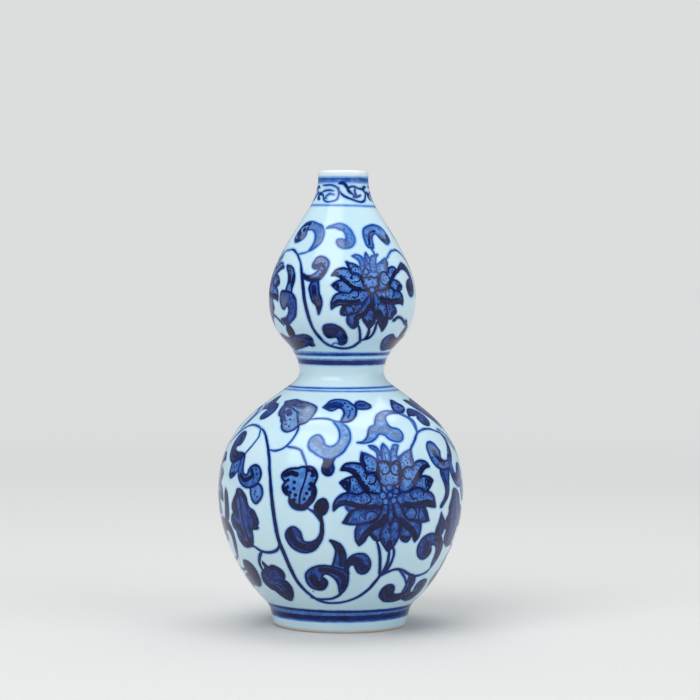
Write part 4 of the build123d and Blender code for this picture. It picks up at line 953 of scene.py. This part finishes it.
NECK_STROKES = [
    ([(-20, 219.7), (-25, 220), (-32, 220.1), (-40, 219.9), (-45, 219.6), (-48.5, 219), (-48, 218.2),
      (-44, 217.8), (-42, 217), (-40, 216), (-37, 215.3), (-33, 214.8), (-28, 214.6), (-22, 214.8),
      (-16, 215.2), (-12, 215.8), (-10, 216.6), (-9, 217.8), (-9, 219.2), (-10, 220.2), (-12, 221),
      (-16, 221.7), (-22, 222.2), (-30, 222.5), (-40, 222.4), (-50, 222.4)], 0.5, 0.64),
    ([(-18, 218), (-23, 218.3), (-28, 218.4), (-32, 218), (-35, 217.3), (-36, 216.6),
      (-34, 216.2)], 0.7, 0.5),
    ([(-50, 218.2), (-54, 218.6), (-57, 218.3), (-58, 217.4), (-56, 216.5), (-52, 216)], 1.0, 0.87),
    ([(-10, 221), (-9, 219.8), (-6, 219), (-3, 218.3), (1, 217.6), (6, 217), (12, 216.4), (18, 215.9),
      (24, 215.3), (29, 214.9), (35, 214.7), (41, 215), (46, 215.7), (50, 217), (53, 218.5), (53, 219.2),
      (50, 220), (46, 220.6), (40, 220.9), (34, 221), (30, 221.4), (26, 221.7), (20, 221.8), (15, 221.5),
      (12, 221.1), (9, 221)], 0.6, 0.78),
    ([(9, 221.2), (11, 220.2), (13.5, 219.5), (16, 219), (20, 218.4)], 0.9, 0.83),
    ([(-8, 223.2), (-3, 223.4), (2, 223.1), (5, 222.5), (8, 221.7), (10.5, 221)], 1.0, 0.87),
    ([(27, 220.8), (25.5, 220), (26, 219), (27, 218.2), (23, 217.8), (22, 217.1), (25, 216.9), (29, 217.2),
      (34, 217.5), (38, 217.9)], 0.7, 0.68),
    ([(46, 220.8), (50, 221.3), (54, 221.6), (58, 221.7)], 0.8, 0.74),
    ([(53, 218.8), (56, 219), (59, 219.3)], 0.8, 0.74),
]


def paint_flower(band, petals, seeds, weight, repeats):
    """A flower of dotted petals in lines of one weight, with its seeds drawn last."""
    for petal in petals:
        settings = dict(rim=0.4, width=weight, rib_width=0.8 * weight, dotted=1.0) | petal
        settings["wash"] *= PETAL_WASH
        band.shape(repeats=repeats, **settings)
    for angle, run, size in seeds:
        across = size / float(np.radians(place(run)[0][0]))
        seed = form(circle(angle, run, across, size), 0.36, 0.9, rim=0.1, width=0.8 * weight)
        band.shape(repeats=repeats, **seed)


BODY_COLUMNS = 900
COLLAR_COLUMNS = BODY_COLUMNS // 2
HIDDEN_COLUMNS = BODY_COLUMNS // 4
COLLAR_START = 206

# rows close together where there is painting, and wider apart where there is none
body_runs = np.concatenate([
    np.arange(starts[0] + GLAZE_START / cos(radians(foot_slope)), 12, 0.4),
    np.arange(12, 126, 0.4),
    np.arange(126, 135.5, 0.8),
    np.arange(135.5, COLLAR_START, 0.4),
])
collar_runs = np.concatenate([
    np.arange(COLLAR_START, 211, 0.6),
    np.arange(211, PROFILE_LENGTH, 0.25),
    [PROFILE_LENGTH],
])
body = Band(body_runs, BODY_COLUMNS)
collar = Band(collar_runs, COLLAR_COLUMNS)

for band, strokes, repeats in (
    (body, LOWER_STEMS + UPPER_STEMS, ALL_ROUND),
    (body, RIGHT_STEMS, FRONT_AND_RIGHT),
    (body, EDGE_STEMS, FRONT),
    (collar, NECK_STROKES, ALL_ROUND),
):
    for points, width, tone in strokes:
        band.stroke(points, width, tone, repeats)
for leaf in LOWER_LEAVES + UPPER_LEAVES:
    body.shape(**leaf)
for leaf in EDGE_LEAVES:
    body.shape(repeats=FRONT, **leaf)
paint_flower(body, LOWER_PETALS, LOWER_SEEDS, 0.56, ALL_ROUND)
paint_flower(body, UPPER_PETALS, UPPER_SEEDS, 0.47, UPPER_FLOWERS)

# rings over the foot
body.ring(6.5, 2.2, 0.85, wobble=0.2)
body.ring_wash(6.3, 2.6, soft=0.9, amount=0.6)
body.ring(9.9, 1.4, 0.8, wobble=0.1)
body.ring_wash(8.3, 0.8, soft=1.0, amount=0.45)
# rings at the waist
body.ring(121.2, 0.5, 0.45)
body.ring(123.6, 0.9, 0.56, tilt=0.4)
body.ring(136.7, 1.9, 0.8, wobble=0.2)
body.ring_wash(137.0, 2.0, soft=0.9, amount=0.45)
body.ring(140.4, 1.2, 0.68, tilt=0.3)
body.ring_wash(140.7, 1.2, soft=1.0, amount=0.35)
# rings at the neck
collar.ring(212.9, 0.5, 0.42, wobble=0.1, tilt=-0.3)
collar.ring_wash(213.0, 0.6, soft=0.7, amount=0.28, tilt=-0.3)
collar.ring_wash(224.8, 1.0, soft=1.6, amount=0.5)
collar.ring(225.3, 0.6, 0.6)

# rust specks: one at the front, and some at random on the sides and the back
rng = np.random.default_rng(11)
specks = [(-16, 22.7, 0.55)] + [
    (rng.uniform(60, 300), rng.uniform(15, 205), rng.uniform(0.12, 0.3)) for _ in range(9)
]
for angle, run, size in specks:
    for area in body.areas([(angle, run)], FRONT, SPECK_MARGIN):
        amount = np.clip(1.3 - distance_to_spot(area, angle, run) / size, 0, 1)
        body.speck[area.where] = np.maximum(body.speck[area.where], amount)


# Mesh of the painted glaze

FIELDS = ("line", "tone", "wash", "heap", "grey", "speck", "dotted")
UNPAINTED = dict.fromkeys(FIELDS, 0.0) | {"line": FAR}
# how far up the UV square the painted side ends, and where the hidden side and the lower edge start
OUTER_SHARE = 0.98
INNER_SHARE = 0.981
EDGE_SHARE = 0.998

# a ring of the mesh: the number of its first point, how many points it has, and its place up the UV square
Ring = namedtuple("Ring", "first columns share")


class Rings:
    """Rings of points round the axis, joined one to the next by faces."""

    def __init__(self):
        self.points, self.faces, self.corners = [], [], []
        self.fields = {name: [] for name in FIELDS}
        self.last, self.count = None, 0

    def add(self, radius, height, columns, share, fields=UNPAINTED):
        """A ring with its share of the way up the UV square and its painted fields."""
        angle = np.radians(np.arange(columns) * 360 / columns - 180)
        x, y, z = radius * np.sin(angle), -radius * np.cos(angle), np.full(columns, height)
        self.points.append(np.stack([x, y, z], 1))
        for name in FIELDS:
            self.fields[name].append(np.broadcast_to(fields[name], columns))
        ring = Ring(self.count, columns, share)
        if self.last is not None:
            self.join(self.last, ring)
        self.last = ring
        self.count += columns

    def join(self, low, high):
        """Faces from a ring up to the next, which may have half or twice as many points."""
        if low.columns == high.columns:
            j = np.arange(low.columns)
            self.store([(low, j), (low, j + 1), (high, j + 1), (high, j)])
            return
        fine, coarse, way = (low, high, 1) if low.columns > high.columns else (high, low, -1)
        j = np.arange(coarse.columns)
        middle = (fine, 2 * j + 1)
        for triangle in (
            [(fine, 2 * j), middle, (coarse, j)],
            [middle, (coarse, j + 1), (coarse, j)],
            [middle, (fine, 2 * j + 2), (coarse, j + 1)],
        ):
            self.store(triangle[::way])

    def store(self, corners):
        """Faces whose corners are each given as a ring and the numbers of its points."""
        self.faces.append(np.stack([ring.first + j % ring.columns for ring, j in corners], 1))
        places = [np.stack([j / ring.columns, np.full(len(j), ring.share)], 1) for ring, j in corners]
        self.corners.append(np.stack(places, 1))

    def mesh(self, name):
        """The mesh of all the rings, with its UV map and the fields of the painting."""
        points = np.concatenate(self.points) * MM
        index = np.concatenate([f.ravel() for f in self.faces])
        sides = np.concatenate([np.full(len(f), f.shape[1]) for f in self.faces])
        face_starts = np.concatenate([[0], np.cumsum(sides)[:-1]])
        uv = np.concatenate([c.reshape(-1, 2) for c in self.corners])
        mesh = bpy.data.meshes.new(name)
        mesh.vertices.add(len(points))
        mesh.vertices.foreach_set("co", points.ravel())
        mesh.loops.add(len(index))
        mesh.loops.foreach_set("vertex_index", index.astype(np.int32))
        mesh.polygons.add(len(sides))
        mesh.polygons.foreach_set("loop_start", face_starts.astype(np.int32))
        mesh.update(calc_edges=True)
        mesh.uv_layers.new(name="OFBake").data.foreach_set("uv", uv.ravel())
        for field in FIELDS:
            values = np.concatenate(self.fields[field]).astype(np.float32)
            mesh.attributes.new(field, "FLOAT", "POINT").data.foreach_set("value", values)
        mesh.shade_smooth()
        mesh.validate()
        return mesh


rings = Rings()
for band in (body, collar):
    radius, height, _ = place(band.run)
    for n in range(len(band.run)):
        fields = {name: getattr(band, name)[n] for name in FIELDS}
        rings.add(radius[n], height[n], band.columns, OUTER_SHARE * band.run[n] / PROFILE_LENGTH, fields)

# the hidden side against the clay, over the lip and down to the lower edge of the glaze
rings.add(bore_rim[0] + GLAZE, bore_rim[1], COLLAR_COLUMNS, INNER_SHARE)
lip_runs = np.linspace(PROFILE_LENGTH, 226, 8)[1:]
wall_runs = np.linspace(222, body_runs[0], 64)
inner_places = list(zip(*place(np.concatenate([lip_runs, wall_runs]))))
for n, (radius, height, slope) in enumerate(inner_places):
    share = INNER_SHARE + (EDGE_SHARE - INNER_SHARE) * n / len(inner_places)
    rings.add(radius - GLAZE * cos(slope), height + GLAZE * sin(slope), HIDDEN_COLUMNS, share)

# the lower edge of the glaze, rounded from the clay out to the painted side
edge_radius, edge_height, edge_slope = (float(value[0]) for value in place(body_runs[0]))
for n, turn in enumerate((0, 30, 60)):
    back, down = GLAZE * (1 - sin(radians(turn))), GLAZE * cos(radians(turn))
    radius = edge_radius - back * cos(edge_slope) - down * sin(edge_slope)
    height = edge_height + back * sin(edge_slope) - down * cos(edge_slope)
    rings.add(radius, height, HIDDEN_COLUMNS * 2**n, EDGE_SHARE + 0.0005 * n)
# the last ring joins the first, which closes the coat
rings.join(rings.last, Ring(0, BODY_COLUMNS, 1.0))

painted = bpy.data.objects.new("painted_glaze_coat", rings.mesh("painted_glaze_coat"))
bpy.context.scene.collection.objects.link(painted)
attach(painted, "root")
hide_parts("outer_glaze")


# Materials


def linear(r, g, b):
    """Scene colour of an sRGB colour given from 0 to 255."""
    shares = (r / 255, g / 255, b / 255)
    return tuple(((c + 0.055) / 1.055) ** 2.4 if c > 0.04 else c / 12.92 for c in shares) + (1.0,)


class Nodes:
    """The nodes of a material or of the world. Their inputs are values or the outputs of other nodes."""

    def __init__(self, owner):
        owner.use_nodes = True
        self.owner, self.tree, self.surface_position = owner, owner.node_tree, None
        self.tree.nodes.clear()

    def new(self, kind, inputs=(), **settings):
        """A node to the right of the last, with some inputs given by name or by number."""
        node = self.tree.nodes.new(kind)
        node.location = (180 * len(self.tree.nodes), 0)
        for name, value in settings.items():
            setattr(node, name, value)
        for name, value in dict(inputs).items():
            if isinstance(value, bpy.types.NodeSocket):
                self.tree.links.new(value, node.inputs[name])
            else:
                node.inputs[name].default_value = value
        return node

    def position(self):
        """Place of the point being coloured, in metres."""
        if self.surface_position is None:
            self.surface_position = self.new("ShaderNodeNewGeometry").outputs["Position"]
        return self.surface_position

    def height(self):
        """Height over the floor in metres."""
        return self.new("ShaderNodeSeparateXYZ", {0: self.position()}).outputs["Z"]

    def field(self, name):
        """A field of the painting, stored on the mesh."""
        return self.new("ShaderNodeAttribute", attribute_name=name).outputs["Fac"]

    def math(self, operation, first, *others):
        """The values taken together, one after another, by one operation."""
        for other in others:
            first = self.new("ShaderNodeMath", {0: first, 1: other}, operation=operation).outputs[0]
        return first

    def plus(self, *values):
        return self.math("ADD", *values)

    def times(self, *values):
        return self.math("MULTIPLY", *values)

    def most(self, *values):
        return self.math("MAXIMUM", *values)

    def spread(self, value, low, high, to_low=0.0, to_high=1.0):
        """The value's way from low to high, eased onto the way from to_low to to_high."""
        inputs = {"Value": value, "From Min": low, "From Max": high, "To Min": to_low, "To Max": to_high}
        return self.new("ShaderNodeMapRange", inputs, interpolation_type="SMOOTHSTEP").outputs[0]

    def noise(self, scale, detail=3.0, roughness=0.5, vector=None):
        inputs = {"Vector": vector or self.position(), "Scale": scale}
        inputs |= {"Detail": detail, "Roughness": roughness}
        return self.new("ShaderNodeTexNoise", inputs).outputs["Fac"]

    def uneven(self, amount, scale, detail=3.0, roughness=0.5):
        """Noise about zero, to make an edge wander."""
        return self.times(self.math("SUBTRACT", self.noise(scale, detail, roughness), 0.5), amount)

    def ramp(self, value, stops):
        node = self.new("ShaderNodeValToRGB", {0: value})
        elements = node.color_ramp.elements
        while len(elements) < len(stops):
            elements.new(0.5)
        for element, (position, colour) in zip(elements, stops):
            element.position = position
            element.color = linear(*colour)
        return node.outputs[0]

    def mix(self, share, a, b):
        """Colour part of the way from a to b. Inputs 0, 6 and 7 are those for colours."""
        return self.new("ShaderNodeMix", {0: share, 6: a, 7: b}, data_type="RGBA").outputs[2]

    def bump(self, height, distance, strength, normal=None):
        inputs = {"Height": height, "Distance": distance, "Strength": strength}
        if normal is not None:
            inputs["Normal"] = normal
        return self.new("ShaderNodeBump", inputs).outputs[0]

    def surface(self, inputs):
        """The finished material, made of one shader."""
        shader = self.new("ShaderNodeBsdfPrincipled", inputs)
        self.new("ShaderNodeOutputMaterial", {0: shader.outputs[0]})
        return self.owner


GLAZE_WHITE = linear(203, 230, 240)
GLAZE_BLUE = linear(189, 221, 235)
GLAZE_THIN_AND_HIGHLIGHT = linear(232, 241, 243)
GLAZE_GLOSS = {"Roughness": 0.12, "IOR": 1.5, "Specular IOR Level": 0.33}
CLAY_GLOSS = {"IOR": 1.45, "Specular IOR Level": 0.3}
COBALT = [
    (0.0, (190, 224, 240)),
    (0.15, (150, 193, 234)),
    (0.35, (84, 136, 206)),
    (0.55, (34, 82, 164)),
    (0.75, (9, 38, 114)),
    (0.9, (2, 14, 68)),
    (1.0, (1, 5, 38)),
]
# grey of the patches: partly rubbed colour, partly painted reflection of the glaze's sheen over the cobalt
GREY_RUB_AND_SHEEN = linear(100, 108, 130)
IRON_BLACK = linear(20, 14, 26)
RUST = linear(120, 84, 40)
PINHOLE = linear(150, 160, 160)
# heights in metres between which the glaze gets thin over the lip and is painted paler, partly for the thin
# glaze and partly as a painted highlight
LIP_HEIGHTS = (0.1972, 0.1992)
# heights between which the heaps of colour get weaker on the shoulder, partly rubbed and partly a painted
# reflection of the lit glaze, and strong again at the waist
SHOULDER_SHEEN_HEIGHTS = (0.086, 0.094)
WAIST_HEIGHTS = (0.112, 0.12)
# heights between which the warm flash on the rim of the foot ends
RIM_HEIGHTS = (0.0008, 0.0022)


def glaze_tint(n):
    """Colour of the clear glaze over white clay, faintly cloudy, and paler on the lip, partly where the
    glaze is thin and partly as a painted highlight.
    """
    cloud = n.noise(28.0, 4.0)
    colour = n.mix(n.spread(cloud, 0.35, 0.7), GLAZE_WHITE, GLAZE_BLUE)
    # the lip is paler: partly thin glaze, partly a painted highlight
    lip = n.spread(n.plus(n.height(), n.times(cloud, 0.0008)), *LIP_HEIGHTS)
    return n.mix(n.times(lip, 0.8), colour, GLAZE_THIN_AND_HIGHLIGHT)


def glaze_bump(n):
    """Slow waves and fine orange peel of a fired glaze."""
    waves = n.bump(n.noise(70.0, 2.0), 0.0002, 0.35)
    return n.bump(n.noise(900.0, 2.0), 0.00002, 0.3, waves)


def drawn_lines(n):
    """Thickness of the cobalt in the brush lines, and in the faint edge that bleeds from them."""
    line = n.plus(n.field("line"), n.uneven(0.4, 260.0), n.uneven(0.25, 1400.0, 2.0))
    strength = n.times(n.field("tone"), n.spread(n.noise(150.0), 0.25, 0.7, 0.88, 1.08))
    drawn = n.times(n.spread(line, -0.12, 0.34, 1.0, 0.0), strength)
    return n.most(drawn, n.spread(line, 0.0, 1.3, 0.2, 0.0))


def washes(n):
    """Thickness of the cobalt in the washes, mottled."""
    return n.times(n.field("wash"), n.spread(n.noise(420.0, 4.0, 0.6), 0.3, 0.72, 0.8, 1.18))


def heaps(n):
    """Thickness of the cobalt where the brush rested, with ragged edges."""
    ragged = n.plus(n.field("heap"), n.uneven(0.55, 700.0, 4.0, 0.65))
    pool = n.times(n.spread(ragged, 0.28, 0.6), n.spread(n.noise(500.0), 0.3, 0.7, 0.82, 1.0))
    height = n.height()
    # the heaps are paler on the lower bulb's shoulder: partly rubbed colour, partly painted reflection of
    # the lit glaze
    shoulder_sheen = n.most(n.spread(height, *SHOULDER_SHEEN_HEIGHTS, 1.0, 0.82), n.spread(height, *WAIST_HEIGHTS))
    return n.times(pool, shoulder_sheen)


def stipple(n):
    """Thickness of the cobalt in the fine dots of the petals."""
    inputs = {"Scale": 820.0, "Randomness": 0.85, "Vector": n.position()}
    spots = n.new("ShaderNodeTexVoronoi", inputs, feature="F1", distance="EUCLIDEAN")
    return n.times(n.spread(spots.outputs["Distance"], 0.26, 0.4, 0.88, 0.0), n.field("dotted"))


def painted_glaze():
    n = Nodes(bpy.data.materials.new("painted_glaze"))
    pool = heaps(n)
    density = n.math("MINIMUM", n.most(drawn_lines(n), washes(n), pool, stipple(n)), 1.0)
    streaks = n.new("ShaderNodeMapping", {"Vector": n.position(), "Scale": (1.0, 1.0, 2.6)}).outputs[0]
    # grey patches, partly rubbed colour and partly painted reflection where light falls on the glaze
    rubbed_and_sheen = n.times(n.field("grey"), n.spread(n.noise(620.0, 4.0, 0.7, streaks), 0.4, 0.5))
    iron = n.times(pool, n.spread(n.noise(900.0, 4.0, 0.7), 0.54, 0.68))
    colour = n.mix(n.times(rubbed_and_sheen, 0.85), n.ramp(density, COBALT), GREY_RUB_AND_SHEEN)
    colour = n.mix(n.times(iron, 0.3), colour, IRON_BLACK)
    colour = n.mix(n.spread(density, 0.0, 0.12), glaze_tint(n), colour)
    colour = n.mix(n.field("speck"), colour, RUST)
    return n.surface({"Base Color": colour, "Normal": glaze_bump(n)} | GLAZE_GLOSS)


def clear_glaze():
    n = Nodes(bpy.data.materials.new("clear_glaze"))
    pinholes = n.times(n.spread(n.noise(2400.0, 1.0), 0.76, 0.8), 0.25)
    colour = n.mix(pinholes, glaze_tint(n), PINHOLE)
    return n.surface({"Base Color": colour, "Normal": glaze_bump(n)} | GLAZE_GLOSS)


def fired_clay(name, base, warm):
    """Matt clay with a fine grain, and a warm flash on the rim of the foot."""
    n = Nodes(bpy.data.materials.new(name))
    grain, cloud = n.noise(3200.0, 4.0, 0.7), n.noise(90.0, 4.0)
    shade = tuple(c * 0.86 for c in base[:3]) + (1.0,)
    near_rim = n.spread(n.plus(n.height(), n.times(cloud, 0.0012)), *RIM_HEIGHTS, 1.0, 0.0)
    flash = n.times(near_rim, n.spread(cloud, 0.3, 0.65, 0.1, 0.4))
    colour = n.mix(flash, n.mix(n.spread(grain, 0.35, 0.7), base, shade), warm)
    bump = n.bump(grain, 0.00005, 0.5)
    roughness = n.spread(cloud, 0.3, 0.7, 0.72, 0.88)
    return n.surface({"Base Color": colour, "Normal": bump, "Roughness": roughness} | CLAY_GLOSS)


materials = {
    "painted_glaze": painted_glaze(),
    "clear_glaze": clear_glaze(),
    "biscuit": fired_clay("biscuit", linear(232, 226, 214), linear(196, 150, 104)),
    "slip": fired_clay("slip", linear(230, 224, 216), linear(200, 170, 140)),
}
painted.data.materials.append(materials["painted_glaze"])
node_slots = {row["node"]: row["material_slot"] for row in frame["record"]["subparts"]}
for name, node in frame["nodes"].items():
    node.data.materials.clear()
    node.data.materials.append(materials[node_slots[name]])


# Floor, light and camera

BACKGROUND = linear(220, 221, 221)
PAPER_GLOSS = {"Roughness": 0.85, "Specular IOR Level": 0.2}
FLOOR_RADIUS = 60.0
FLOOR_SIDES = 64
# distances in metres from the vase between which the paper turns into the pale background
PAPER_ENDS = (0.25, 1.3)
PHOTO_PIXELS = 700
FOCAL_PIXELS = 2378
SENSOR_WIDTH = 36.0
CAMERA_PLACE = (0.003579, -1.048, 0.15651)
CAMERA_DIP = 1.927
CAMERA_ROLL = 0.444


def floor_mesh():
    """A round floor that reaches out to the horizon."""
    points, faces = [(0.0, 0.0, 0.0)], []
    for k in range(FLOOR_SIDES):
        angle = radians(k * 360 / FLOOR_SIDES)
        points.append((FLOOR_RADIUS * cos(angle), FLOOR_RADIUS * sin(angle), 0.0))
        faces.append((0, 1 + k, 1 + (k + 1) % FLOOR_SIDES))
    mesh = bpy.data.meshes.new("studio_floor")
    mesh.from_pydata(points, [], faces)
    return mesh


def studio_paper():
    """Pale paper that fades into the plain background, as the camera and reflections see it."""
    n = Nodes(bpy.data.materials.new("studio_paper"))
    grain = n.noise(600.0)
    paper = n.mix(n.spread(grain, 0.3, 0.7), linear(216, 216, 214), linear(212, 212, 211))
    inputs = {"Base Color": paper, "Normal": n.bump(grain, 0.00004, 0.3)}
    lit = n.new("ShaderNodeBsdfPrincipled", inputs | PAPER_GLOSS)
    haze = n.mix(n.spread(n.noise(1.2, 1.0), 0.2, 0.8), BACKGROUND, linear(219, 220, 221))
    pale = n.new("ShaderNodeEmission", {"Color": haze})
    away = n.new("ShaderNodeVectorMath", {0: n.position()}, operation="LENGTH")
    path = n.new("ShaderNodeLightPath")
    seen = n.most(path.outputs["Is Camera Ray"], path.outputs["Is Glossy Ray"])
    share = n.times(n.spread(away.outputs["Value"], *PAPER_ENDS), seen)
    shader = n.new("ShaderNodeMixShader", {0: share, 1: lit.outputs[0], 2: pale.outputs[0]})
    n.new("ShaderNodeOutputMaterial", {0: shader.outputs[0]})
    return n.owner


def area_light(name, stand, aim, size, power):
    lamp = bpy.data.lights.new(name, "AREA")
    lamp.shape = "RECTANGLE"
    lamp.size, lamp.size_y = size
    lamp.energy = power
    holder = bpy.data.objects.new(name, lamp)
    turn = (Vector(stand) - Vector(aim)).to_track_quat("Z", "Y").to_matrix().to_4x4()
    holder.matrix_world = Matrix.Translation(stand) @ turn
    bpy.context.scene.collection.objects.link(holder)


floor_object = bpy.data.objects.new("studio_floor", floor_mesh())
bpy.context.scene.collection.objects.link(floor_object)
floor_object.data.materials.append(studio_paper())

area_light("key_light", (-0.9, -1.3, 1.9), (0, 0, 0.1), (1.8, 1.8), 37.0)
area_light("fill_light", (1.6, -1.0, 1.0), (0, 0, 0.1), (1.6, 1.6), 13.0)
area_light("top_light", (0.1, 0.5, 2.0), (0, 0.01, 0.1), (1.8, 1.4), 21.0)

w = Nodes(bpy.data.worlds.new("studio_world"))
sky = w.new("ShaderNodeBackground", {"Color": linear(225, 230, 235), "Strength": 0.4})
backdrop = w.new("ShaderNodeBackground", {"Color": BACKGROUND, "Strength": 1.0})
seen = w.new("ShaderNodeLightPath").outputs["Is Camera Ray"]
around = w.new("ShaderNodeMixShader", {0: seen, 1: sky.outputs[0], 2: backdrop.outputs[0]})
w.new("ShaderNodeOutputWorld", {0: around.outputs[0]})
bpy.context.scene.world = w.owner

camera_data = bpy.data.cameras.new("camera")
camera_data.sensor_width = SENSOR_WIDTH
camera_data.lens = SENSOR_WIDTH * FOCAL_PIXELS / PHOTO_PIXELS
camera = bpy.data.objects.new("camera", camera_data)
bpy.context.scene.collection.objects.link(camera)
turn = Matrix.Rotation(radians(90 - CAMERA_DIP), 4, "X") @ Matrix.Rotation(radians(CAMERA_ROLL), 4, "Z")
camera.matrix_world = Matrix.Translation(CAMERA_PLACE) @ turn
bpy.context.scene.camera = camera
bpy.context.scene.view_settings.view_transform = "Standard"
